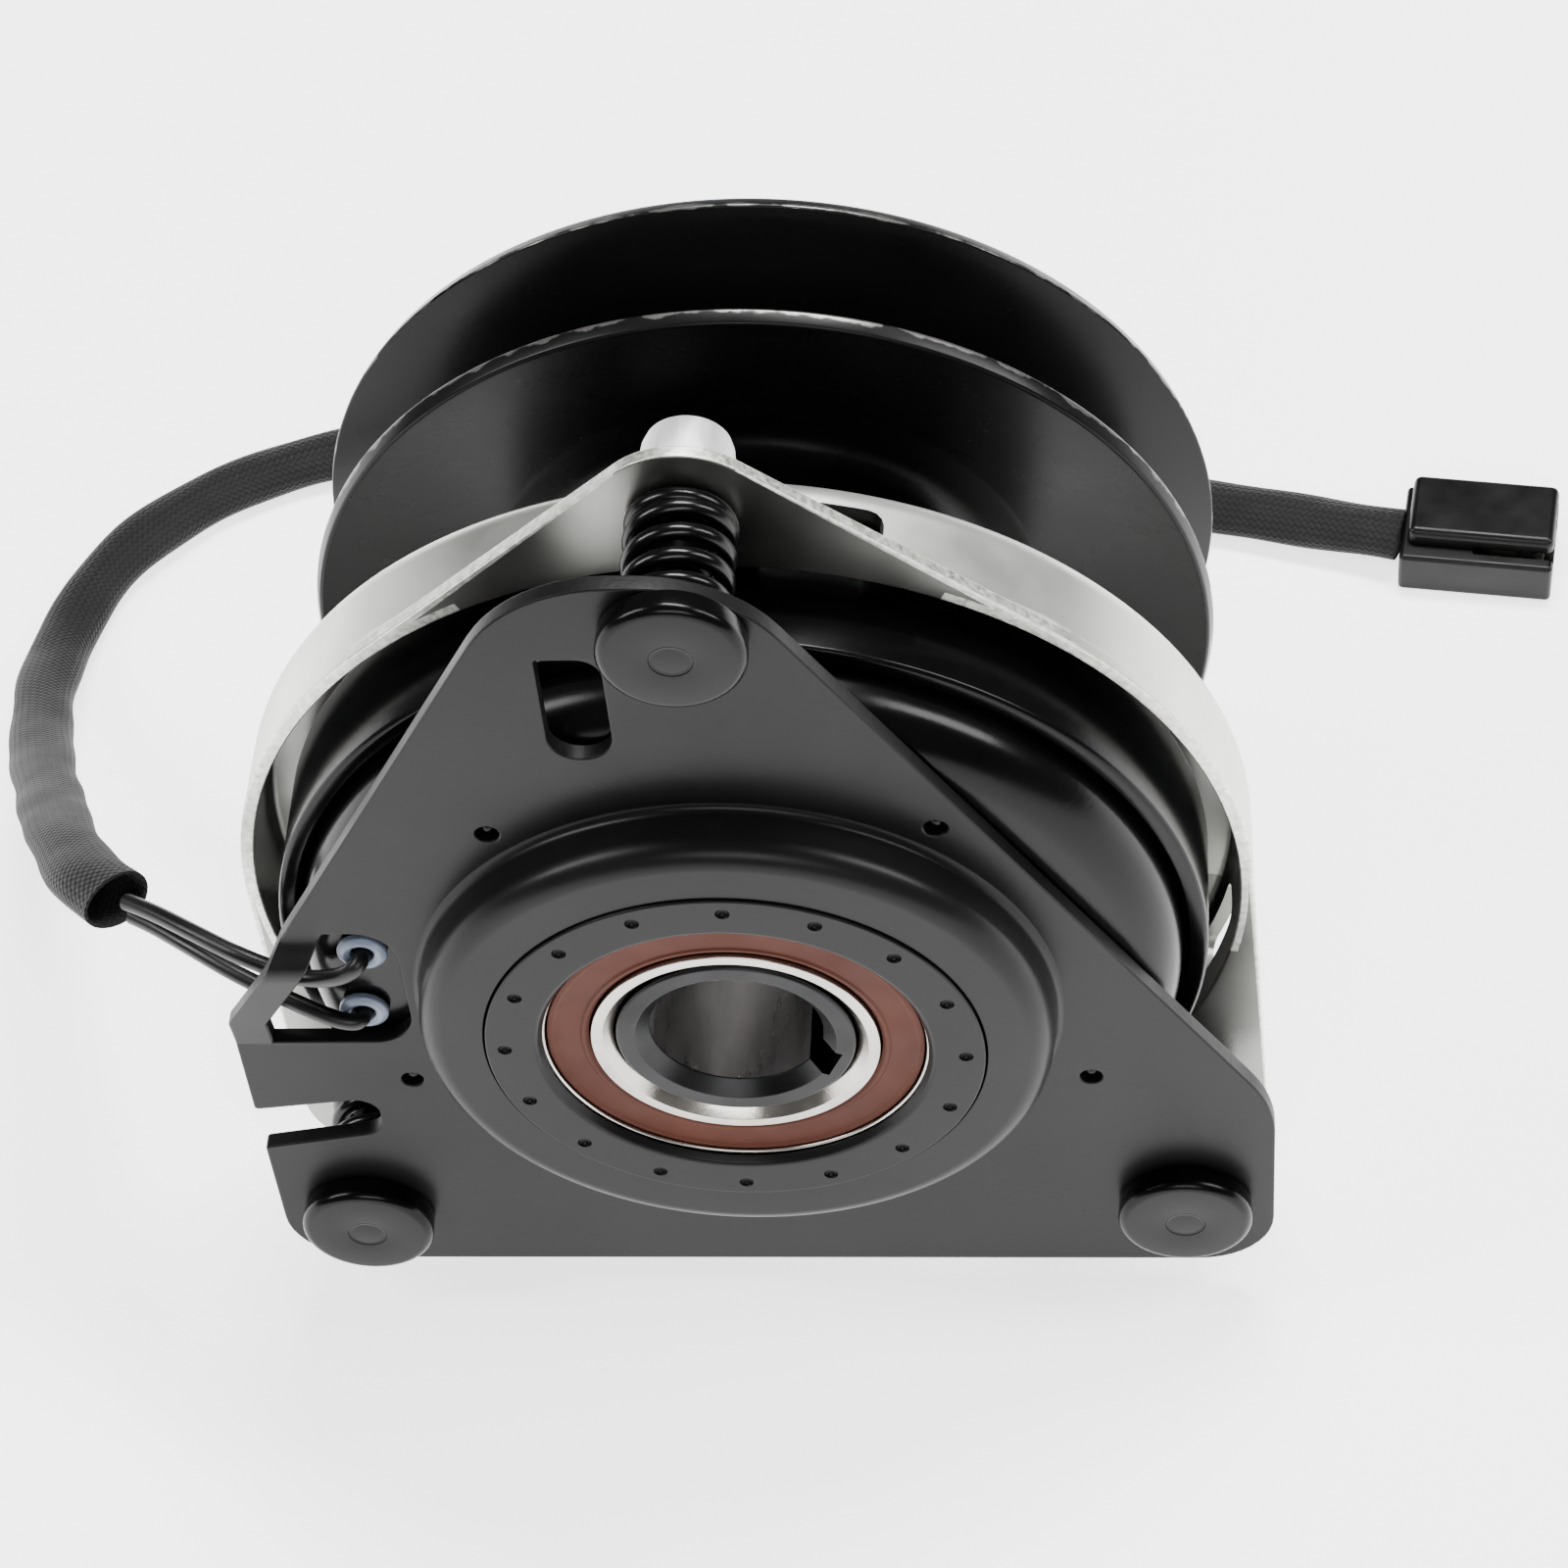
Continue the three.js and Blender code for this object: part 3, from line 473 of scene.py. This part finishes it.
camera_data = bpy.data.cameras.new("camera")
camera_data.lens = 106.535
camera_data.sensor_width = 36
camera_data.clip_start, camera_data.clip_end = 0.05, 20
camera = bpy.data.objects.new("camera", camera_data)
camera.matrix_world = Matrix.Translation(CAMERA_PLACE) @ CAMERA_TURN.to_matrix().to_4x4()
bpy.context.scene.collection.objects.link(camera)
bpy.context.scene.camera = camera

# ---------------------------------------------------------------- lead: sleeve, wires, grommets and plug

SLEEVE_ROUTE = [
    (-107.6, 31, -1.2), (-113.4, 37.6, -4.4), (-119, 46.8, -10.4), (-124.8, 59, -19.2), (-130.6, 73, -30),
    (-136.6, 88.6, -42), (-142.4, 105, -54), (-147.2, 122, -64.6), (-150.4, 139.4, -73.4),
    (-150.6, 156, -79.6), (-146.6, 172, -81.2), (-137, 186.4, -81.2), (-121.8, 198.8, -81.2),
    (-101, 207.2, -81.2), (-76, 211.2, -81.2),
    (-48, 211.4, -81.2), (-18, 208.4, -81.2), (14, 203, -81.2), (46, 196.4, -81.1), (78, 189.6, -80.9),
    (96, 185, -80), (107, 181.6, -79), (116.2, 178.8, -78.4),
]
WIRE_ROUTES = {
    "upper": [
        (-61.2, 10.8, 11.9), (-61.2, 9.4, 11.9), (-62.2, 7.8, 11), (-65.5, 7.9, 8.3), (-71.3, 9.8, 5.4),
        (-77.5, 12.2, 4.9), (-84.5, 15.2, 5.4), (-91.5, 19.4, 5.1), (-99, 24.6, 3.6), (-105, 28.6, 1.8),
    ],
    "lower": [
        (-63.2, 10.8, -4.4), (-63.2, 9.4, -4.4), (-64.4, 7.8, -4.2), (-68, 8.1, -3.6), (-74.2, 10.4, -2.6),
        (-80.6, 13.4, -1.8), (-86.7, 16.6, -1.1), (-93.2, 20.8, -0.9), (-100, 25.6, -1.5),
        (-104.8, 28.8, -2.4),
    ],
}
GROMMETS = {"upper": (-61.2, 11.9), "lower": (-63.2, -4.4)}
WIRE_RADIUS = 1.5
SLEEVE_SIDES = 28
SLEEVE_GIRTH = 30
SLEEVE_WALL = 0.6
MOUTH_DEPTH = 14


def sleeve_section(along, inset=0.0):
    """A flattened oval that opens at its mouth and crumples a little on the way."""
    mouth = math.exp(-along / 9)
    wide, high = 6.2 + 0.1 * mouth - inset, 3.65 + 1.0 * mouth - inset
    points = []
    for cos, sin in (polar(1, 360 * i / SLEEVE_SIDES) for i in range(SLEEVE_SIDES)):
        crumple = 0.2 * math.sin(along / 7.3 + 2 * sin) + 0.16 * math.sin(along / 3.9 + 3 * cos)
        points.append(((wide + crumple) * cos, (high + crumple * 0.6) * sin))
    return points


def woven_sleeve():
    line = through(SLEEVE_ROUTE, 14)
    lengths = [0.0]
    for a, b in zip(line, line[1:]):
        lengths.append(lengths[-1] + (b - a).length)
    stations = frames(line)
    depth = next(i for i, along in enumerate(lengths) if along > MOUTH_DEPTH)
    inside = [ring_at(stations[i], sleeve_section(lengths[i], SLEEVE_WALL)) for i in range(depth, -1, -1)]
    outside = [ring_at(station, sleeve_section(along)) for station, along in zip(stations, lengths)]
    rows = [-lengths[i] for i in range(depth, -1, -1)] + lengths
    thing = skin("braided_sleeve", inside + outside, 70)
    layer = thing.data.uv_layers.new(name="weave")
    for face in thing.data.polygons:
        places = [v % SLEEVE_SIDES for v in face.vertices]
        wraps = len(places) == 4 and 0 in places and SLEEVE_SIDES - 1 in places
        for loop, vertex, place in zip(face.loop_indices, face.vertices, places):
            place = SLEEVE_SIDES if wraps and place == 0 else place
            layer.data[loop].uv = (rows[vertex // SLEEVE_SIDES], place * SLEEVE_GIRTH / SLEEVE_SIDES)
    dress(thing, WEAVE, "field", ["woven_sleeve"])
    return thing, line


sleeve, sleeve_line = woven_sleeve()


def wire(side):
    line = through(WIRE_ROUTES[side], 8)
    round_section = [polar(WIRE_RADIUS, 360 * i / 16) for i in range(16)]
    thing = skin(f"{side}_wire", [ring_at(station, round_section) for station in frames(line)])
    dress(thing, WIRE, "field", [f"{side}_lead_wire"])


def grommet(name, u, w):
    section = rounded([
        (2.0, -10.95, 0.2), (4.15, -10.95, 0.2), (4.15, -9.9, 0.5), (3.0, -9.2, 0.4), (2.0, -9.7, 0.3),
    ], 3)
    thing = lathe(name + "_grommet_ring", section, 40, (u, w))
    dress(thing, NYLON, "field", [name + "_lead_grommet"])


def plug():
    """A two-way plug: a low shell with a raised block on it, and two cavities in its mouth."""
    shell = box("plug_shell", (30, 19.4, 9.6), (0, 0, 4.85), edge=1.0)
    block = box("plug_block", (28.6, 15.6, 12.6), (0.6, 1.8, 7.2), edge=1.5)
    body = combine("plug_body", shell, [block])
    holes = [box("plug_hole", (18, 5.6, 8.2), (8.2, side * 4.4, 6.2), edge=0.5) for side in (1, -1)]
    body = combine("plug_housing", body, holes, "DIFFERENCE", 30)
    body.data.transform(
        Matrix.Translation(Vector((131.5, 178, FLOOR)) * MM) @ Matrix.Rotation(math.radians(-7.5), 4, "Z")
    )
    return dress(body, MOULDED, "field", ["connector_housing"])


housing = plug()
for side, (u, w) in GROMMETS.items():
    wire(side)
    grommet(side, u, w)

# ---------------------------------------------------------------- field plate

LEFT_EDGE = -85.8
FRONT, BACK = -8.0, -11.0
TOP_LEFT = (-26.4, 104.3)
STAKES = 16
WELDS = ((34.8, 46.6), (-36, 45.8), (57.6, -21), (-57.2, -21.4))


def edge_at(w):
    return LEFT_EDGE + max(w + 4, 0) * (TOP_LEFT[0] - LEFT_EDGE) / (TOP_LEFT[1] + 4)


def plate_loops():
    outline = rounded([
        (6.5, 104.3, 25), (*TOP_LEFT, 26), (edge_at(19.6), 19.6, 0.8), (-55, 19.6, 7), (-55, -10.3, 7),
        (LEFT_EDGE, -10.3, 0.8), (LEFT_EDGE, -30.4, 0.8), (-63.8, -27, 4), (-64.6, -37.2, 3.8),
        (LEFT_EDGE, -41.8, 0.8), (LEFT_EDGE, -76.8, 13), (88.3, -76.8, 13), (88.3, -30.2, 28),
    ], 10)
    kidney = rounded([(-13.8, 64.6, 4.8), (-13.8, 88, 4), (-23.8, 88, 0.5), (-23.8, 64.6, 4.8)], 8)
    holes = [circle(4.2, *polar(STUD_CIRCLE, angle)) for angle in STUD_ANGLES]
    welds = [circle(1.9, x, y, 20) for x, y in WELDS]
    return [outline, circle(53, steps=AROUND), kidney, *holes, *welds]


def smooth_step(x):
    x = min(max(x, 0.0), 1.0)
    return x * x * (3 - 2 * x)


def bridge_strip():
    """The strip over the lead window, pressed forward between two soft bends."""
    rings = []
    for i in range(61):
        w = -14.5 + 36.6 * i / 60
        lift = 3.4 * (min(max((w + 10.8) / 22.3, 0), 1) - smooth_step((w - 12.8) / 6))
        outer = edge_at(w)
        back, front = BACK + lift, FRONT + lift
        rings.append([shaft(outer + across, w, h) for across, h in (
            (0, back + 0.3), (0, front - 0.3), (0.3, front), (6.2, front),
            (6.5, front - 0.3), (6.5, back + 0.3), (6.2, back), (0.3, back),
        )])
    return skin("bridge_strip", rings, 38)


def field_plate():
    boss = rounded([
        (41.3, 1.4, 0.2), (52.0, 1.4, 4.2), (52.4, -8.02, 1.6), (54.2, -8.02, 0), (54.2, -8.6, 0),
        (53.6, -11.0, 0), (49.4, -11.0, 1), (49, -1.6, 1.8), (41.3, -1.6, 0.2),
    ], 8)
    sheet = flat("plate_sheet", plate_loops(), BACK, FRONT)
    thing = combine("coated_field_plate", sheet, [lathe("boss", boss), bridge_strip()])
    dress(thing, BLACK, "field", ["field_plate"])
    second_material(thing, BLACK_EDGE, lambda c, n: abs(n.y) < 0.35 and Vector((c.x, c.z)).length > 57)


field_plate()


def carrier_ring():
    section = rounded([
        (41, -21, 0.3), (41, 1.9, 0.35), (32.6, 1.9, 1.1), (31.45, 0.3, 0.2), (34.3, 0.3, 0),
        (34.3, -21, 0.2),
    ])
    ring = lathe("carrier_blank", section, 192)
    places = [polar(37.8, 360 / STAKES * i - 1.7) for i in range(STAKES)]
    stakes = [ball("stake", 1.25, shaft(u, w, 2.15)) for u, w in places]
    thing = combine("staked_carrier_ring", ring, [merged("stakes", stakes)], "DIFFERENCE", 30)
    dress(thing, BLACK, "field", ["bearing_carrier_ring"])


carrier_ring()


def weld_nubs():
    domes = [ball("nub", 1.5, shaft(u, w, -10.3)) for u, w in WELDS]
    dress(merged("weld_nubs", domes), BLACK_SHINY, "field")


weld_nubs()

# ---------------------------------------------------------------- rings turned from a section

BEARING_WIDTH = 15


def turned(name, corners, material, body, node):
    dress(lathe(name, rounded(corners)), material, body, [node])


def bearing_rings(prefix, front, body_outer, body_inner):
    back = front - BEARING_WIDTH
    outer = [(31.3, back, 0.4), (34, back, 0.9), (34, front, 0.9), (31.3, front, 0.4)]
    inner = [
        (20, back, 0.9), (23.8, back, 0.4), (23.8, front, 0.3), (21.9, front, 0.25),
        (20.2, front - 1.7, 0.3), (20, front - 2.2, 0),
    ]
    turned(prefix + "_outer_race", outer, STEEL, body_outer, prefix + "_outer_ring")
    turned(prefix + "_inner_race", inner, STEEL, body_inner, prefix + "_inner_ring")
    for name, near, sign in (("front", front - 0.4, 1), ("rear", back + 0.4, -1)):
        far = near - sign * 1.2
        face = [
            (24.1, far, 0), (31.0, far, 0), (31.0, near - sign * 0.1, 0.2), (30.2, near, 0.2),
            (29.7, near - sign * 0.3, 0.2), (25.6, near - sign * 0.3, 0.2), (25.2, near, 0.2),
            (24.7, near - sign * 0.05, 0.15), (24.1, near - sign * 0.5, 0.1),
        ]
        turned(f"{prefix}_{name}_shield", face, SEAL, body_outer, f"{prefix}_{name}_seal")


bearing_rings("field_bearing", 0, "field", "rotor")
bearing_rings("front_pulley_bearing", -55, "pulley", "rotor")
bearing_rings("rear_pulley_bearing", -85, "pulley", "rotor")

turned("coil_shell", [
    (73, -36.5, 0.4), (73, -11.3, 8), (44, -11.3, 4), (44, -36.5, 0.4), (46.5, -36.5, 0.4), (46.5, -13.8, 2),
    (70.5, -13.8, 5.5), (70.5, -36.5, 0.4),
], BLACK_SHINY, "field", "field_coil_shell")
turned("rotor_drum", [
    (20, -42, 0.2), (77.3, -42, 1.6), (77.3, -20.5, 0.9), (74.3, -20.5, 0.5), (74.3, -38, 1.2),
    (20, -38, 0.2),
], BLACK_SHINY, "rotor", "rotor_cup")
turned("armature_disc", [
    (40, -46.9, 0.3), (74.5, -46.9, 0.4), (74.5, -42.5, 0.4), (40, -42.5, 0.3),
], DARK, "armature", "armature_plate")
turned("armature_carrier", [
    (37.5, -53.3, 0.3), (56, -53.3, 0.6), (56, -50.3, 0.6), (37.5, -50.3, 0.3),
], BLACK_SHINY, "pulley", "armature_carrier_flange")
turned("drum_clip", [
    (31.8, -101.3, 0.2), (34, -101.3, 0.2), (34, -100.3, 0.2), (31.8, -100.3, 0.2),
], DARK, "pulley", "drum_retaining_ring")
turned("hub_clip", [
    (20, -101.9, 0.2), (23.5, -101.9, 0.3), (23.5, -100.3, 0.3), (20, -100.3, 0.2),
], DARK, "rotor", "hub_retaining_ring")


BORE_RADIUS = 14.29
KEY_WIDTH, KEY_DEPTH, KEY_ANGLE = 6.35, 3.2, 24


def keyed_hub():
    section = rounded([
        (BORE_RADIUS, -106, 0.5), (19.7, -106, 1), (19.7, -0.8, 0.5), (16.6, -0.8, 0.3),
        (BORE_RADIUS, -3.1, 0.4),
    ])
    reach = BORE_RADIUS + KEY_DEPTH
    key = box("key_slot", (reach, 112, KEY_WIDTH), (0, 0, 0))
    outwards = Matrix.Translation(Vector((reach / 2, 53, 0)) * MM)
    key.data.transform(Matrix.Rotation(math.radians(KEY_ANGLE), 4, "Y") @ outwards)
    thing = combine("machined_hub", lathe("hub_blank", section, 192), [key], "DIFFERENCE", 30)
    dress(thing, DARK, "rotor", ["keyed_hub"])
    # The bore gets the lightened, streaked steel: machined steel with a painted highlight.
    second_material(thing, BORE_AND_HIGHLIGHT, lambda c, n: Vector((c.x, c.z)).length < 14.6 and 3.3 < c.y < 105.5)


keyed_hub()

# ---------------------------------------------------------------- pulley

SLOPE = math.tan(math.radians(19))
SHEET = 3.0


def groove(radius):
    """Half the width of the belt groove at a radius."""
    return 11.9 - (78.8 - radius) * SLOPE


def pulley_halves():
    across, out = polar(SHEET, 19)
    middle = -102.5
    root, end = 49.0, 51.0
    front = [
        (78.8, middle + 11.9, 0.5), (78.8 - out, middle + 11.9 + across, 0.7),
        (end - 3.4, middle + 0.15 + SHEET, 6), (37.2, middle + 0.15 + SHEET, 6), (37.2, -50.3, 0.5),
        (31.5, -50.3, 0.5), (31.5, -54.7, 0.2), (34.3, -54.7, 0.2), (34.3, middle + 0.15, 3),
        (root - 2, middle + 0.15, 3),
        (end, middle + groove(end), 1),
    ]
    rear = [
        (78.8, middle - 11.9, 0.5), (78.8 - out, middle - 11.9 - across, 0.7),
        (end - 3.4, middle - 0.15 - SHEET, 5), (38.3, middle - 0.15 - SHEET, 0.6), (38.3, middle - 0.15, 0.6),
        (root - 2, middle - 0.15, 3), (end, middle - groove(end), 1),
    ]
    for name, corners in (("front", front), ("rear", rear)):
        thing = lathe(f"pulley_{name}_cheek", rounded(corners, 7), 216)
        dress(thing, PULLEY, "pulley", [f"pulley_{name}_half"])


pulley_halves()

# ---------------------------------------------------------------- brake flange, studs, springs and nuts


BRAKE_RIM = 84.9
EAR = 14.3


def ear_outline():
    """The outline of the three ears, run together by the rim of the cup."""
    reach = math.degrees(math.acos((BRAKE_RIM - EAR) / STUD_CIRCLE))
    points = []
    angles = sorted(a % 360 for a in STUD_ANGLES)
    for i, angle in enumerate(angles):
        x, y = polar(STUD_CIRCLE, angle)
        for step in range(25):
            dx, dy = polar(EAR, angle - reach + 2 * reach * step / 24)
            points.append((x + dx, y + dy))
        after = angles[(i + 1) % 3] + (360 if i == 2 else 0)
        first, last = angle + reach, after - reach
        points += [polar(BRAKE_RIM, first + (last - first) * step / 30) for step in range(1, 30)]
    return points


def near_ear(c):
    angle = math.degrees(math.atan2(c.z, c.x))
    return min(abs((angle - a + 180) % 360 - 180) for a in STUD_ANGLES) < 27


def painted_shade_faces(c, n):
    """The faces of the flange that look towards the plate or the shaft, which get the darker zinc as painted
    shade.
    """
    radius = math.hypot(c.x, c.z)
    inward = n.x * c.x + n.z * c.z < -0.5 * radius
    return (radius < 83 and inward) or (n.y < -0.7 and (radius > 85.2 or near_ear(c)))


def on_sheared_edge(c, n):
    """The faces of the cut rims of the ears and of the cup."""
    radius = math.hypot(c.x, c.z)
    return (radius > 85.3 and abs(n.y) < 0.7) or (c.y < 31.8 and radius > 82.4 and not near_ear(c))


def brake_flange():
    cup = lathe("brake_cup", rounded([
        (60, -49.5, 0.4), (84.5, -49.5, 4), (84.6, -45, 0), (84.8, -36, 0), (84.85, -34.2, 0),
        (BRAKE_RIM, -31.3, 0.35), (82.6, -31.3, 0.35), (82.55, -34.2, 0), (82.5, -36, 0), (82.3, -45, 0),
        (82.2, -47.2, 1.7), (60, -47.2, 0.4),
    ], 6), 180)
    holes = [circle(4.2, *polar(STUD_CIRCLE, angle)) for angle in STUD_ANGLES]
    ears = flat("brake_ears", [ear_outline(), circle(83.7, steps=180), *holes], -33.6, -31.3, 0.3)
    body = combine("brake_body", cup, [ears])
    windows = []
    for i, angle in enumerate((77.5, -16.2, 200)):
        u, w = polar(84, angle)
        windows.append(box(f"window_{i}", (12, 7.4, 19), (u, 40.5, w), -angle, 2.6))
    thing = combine("pressed_brake_flange", body, windows, "DIFFERENCE")
    dress(thing, ZINC, "brake", ["brake_flange"])
    # The inward faces get the darker zinc as painted shade.
    second_material(thing, ZINC_PAINTED_SHADE, painted_shade_faces)
    second_material(thing, ZINC_EDGE, on_sheared_edge)


brake_flange()


def stud(i, u, w):
    shank = [(0, -49), (3.2, -49), (3.9, -48.2), (3.9, -22), (5.2, -21.5), (5.2, -11.3), (3.9, -11.2)]
    head = rounded([(3.9, -7.7, 0), (11.4, -7.7, 0.5), (11.7, -3.1, 1.6), (3.4, -3.1, 0.1)], 7)
    dimple = [(3.3, -3.13), (3.0, -3.2), (2.6, -3.16), (0, -3.12)]
    outline = shank + head + dimple
    points, faces = [], []
    around = 48
    for r, h in outline[1:-1]:
        points += [shaft(u + a, w + b, h) for a, b in (polar(r, 360 * k / around) for k in range(around))]
    for row in range(len(outline) - 3):
        a, b = row * around, (row + 1) * around
        faces += [(a + k, a + (k + 1) % around, b + (k + 1) % around, b + k) for k in range(around)]
    faces += [tuple(range(around - 1, -1, -1)), tuple(range(len(points) - around, len(points)))]
    dress(piece(f"headed_stud_{i}", points, faces), BLACK_SHINY, "field", [f"brake_stud_{i}"])


def spring(i, u, w):
    """A coil with a closed turn at each end, which stretches between the plate and the flange."""
    turns, steps, closed = 5, 40, 0.75
    coil, thick, sides = 7.5, 1.45, 14
    back, front = -31.3 + 0.3 + thick, -11.3 - thick
    line = []
    for k in range(turns * steps + 1):
        turn_now = k / steps
        share = min(max((turn_now - closed) / (turns - 2 * closed), 0), 1)
        a, b = polar(coil, 360 * turn_now)
        line.append(Vector((u + a, -(back + (front - back) * share), w + b)))
    rings = []
    for k, p in enumerate(line):
        ahead = (line[min(k + 1, len(line) - 1)] - line[max(k - 1, 0)]).normalized()
        out = Vector((p.x - u, 0, p.z - w)).normalized()
        side = ahead.cross(out).normalized()
        rings.append(ring_at((p, out, side), [polar(thick, 360 * s / sides) for s in range(sides)]))
    thing = dress(skin(f"coil_spring_{i}", rings), SPRING)
    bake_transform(thing)
    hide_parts(f"brake_spring_{i}")


def nut(i, u, w):
    """A hexagonal base that runs out into a round, blunt nose."""
    around = 60
    rows = [
        (-33.9, 8.3, 1), (-38.4, 8.3, 1), (-39.6, 8.1, 0.7), (-41, 7.75, 0), (-45.2, 7.3, 0), (-46.7, 6.8, 0),
        (-47.4, 5.8, 0), (-47.4, 4.5, 0), (-46.9, 4.3, 0),
    ]
    points = []
    for h, radius, hexed in rows:
        for k in range(around):
            angle = 360 * k / around
            flats = math.cos(math.radians(30)) / math.cos(math.radians((angle % 60) - 30))
            size = radius * (1 + hexed * (min(flats * 1.03, 1) - 1))
            a, b = polar(size, angle)
            points.append(shaft(u + a, w + b, h))
    faces = []
    for row in range(len(rows) - 1):
        faces += band(row * around, (row + 1) * around, around)
    inner = len(points)
    for h in (-46.9, -33.9):
        points += [shaft(u + a, w + b, h) for a, b in (polar(4.3, 360 * k / around) for k in range(around))]
    faces += band(inner, inner + around, around)
    faces += band((len(rows) - 1) * around, inner, around)
    faces += band(inner + around, 0, around)
    dress(piece(f"flange_nut_{i}", points, faces, 32), NUT, f"nut_{i}", [f"adjusting_nut_{i}"])


for number, angle in enumerate(STUD_ANGLES, 1):
    at = polar(STUD_CIRCLE, angle)
    stud(number, *at)
    spring(number, *at)
    nut(number, *at)

# ---------------------------------------------------------------- CAD nodes that keep their shape

KEPT = {
    "field_coil_winding": COPPER,
    "coil_potting_ring": RESIN,
    "connector_terminal_1": TINNED,
    "connector_terminal_2": TINNED,
}
for name in ("field_spacer", "rotor_spacer", "pulley_bearing_spacer"):
    KEPT[name] = STEEL
for bearing in ("field", "front_pulley", "rear_pulley"):
    KEPT[f"{bearing}_bearing_balls_and_cage"] = STEEL
for i in (1, 2, 3):
    KEPT[f"armature_leaf_spring_{i}"] = SPRING
    KEPT[f"armature_rivet_{i}"] = KEPT[f"carrier_rivet_{i}"] = STEEL
for name, material in KEPT.items():
    node = nodes[name]
    node.data.materials.clear()
    node.data.materials.append(material)
    node.data.shade_smooth()
    node.data.set_sharp_from_angle(angle=math.radians(35))

# ---------------------------------------------------------------- floor and light


def floor():
    mesh = bpy.data.meshes.new("floor")
    z = FLOOR * MM
    mesh.from_pydata([(-4, -4, z), (4, -4, z), (4, 4, z), (-4, 4, z)], [], [(0, 1, 2, 3)])
    thing = bpy.data.objects.new("floor", mesh)
    bpy.context.scene.collection.objects.link(thing)
    made = Nodes("floor", Roughness=0.9, Emission_Color=(1, 1, 1, 1), Emission_Strength=2.2)
    made.colour(made.ramp(made.noise(8, 3), (0.3, (0.9, 0.9, 0.9)), (0.7, (0.92, 0.92, 0.92))))
    thing.data.materials.append(made.material)


def light(name, place, target, width, height, watts):
    data = bpy.data.lights.new(name, "AREA")
    data.shape = "RECTANGLE"
    data.size, data.size_y = width, height
    data.energy = watts
    lamp = bpy.data.objects.new(name, data)
    lamp.location = place
    lamp.rotation_mode = "QUATERNION"
    lamp.rotation_quaternion = (Vector(target) - Vector(place)).to_track_quat("-Z", "Y")
    bpy.context.scene.collection.objects.link(lamp)


floor()
light("overhead", (0.15, 0.5, 1.3), (0, 0.05, 0), 0.7, 0.3, 36)
light("left", (-1.0, -0.1, 0.9), (0, 0, 0), 0.3, 0.7, 14)
light("right", (1.0, 0.1, 0.9), (0, 0, 0), 0.3, 0.7, 14)
light("front", (0.1, -1.1, 0.9), (0, 0, 0), 0.8, 0.4, 9)
world = bpy.data.worlds.new("studio")
world.use_nodes = True
world.node_tree.nodes["Background"].inputs["Color"].default_value = (1, 1, 1, 1)
world.node_tree.nodes["Background"].inputs["Strength"].default_value = 0.14
bpy.context.scene.world = world
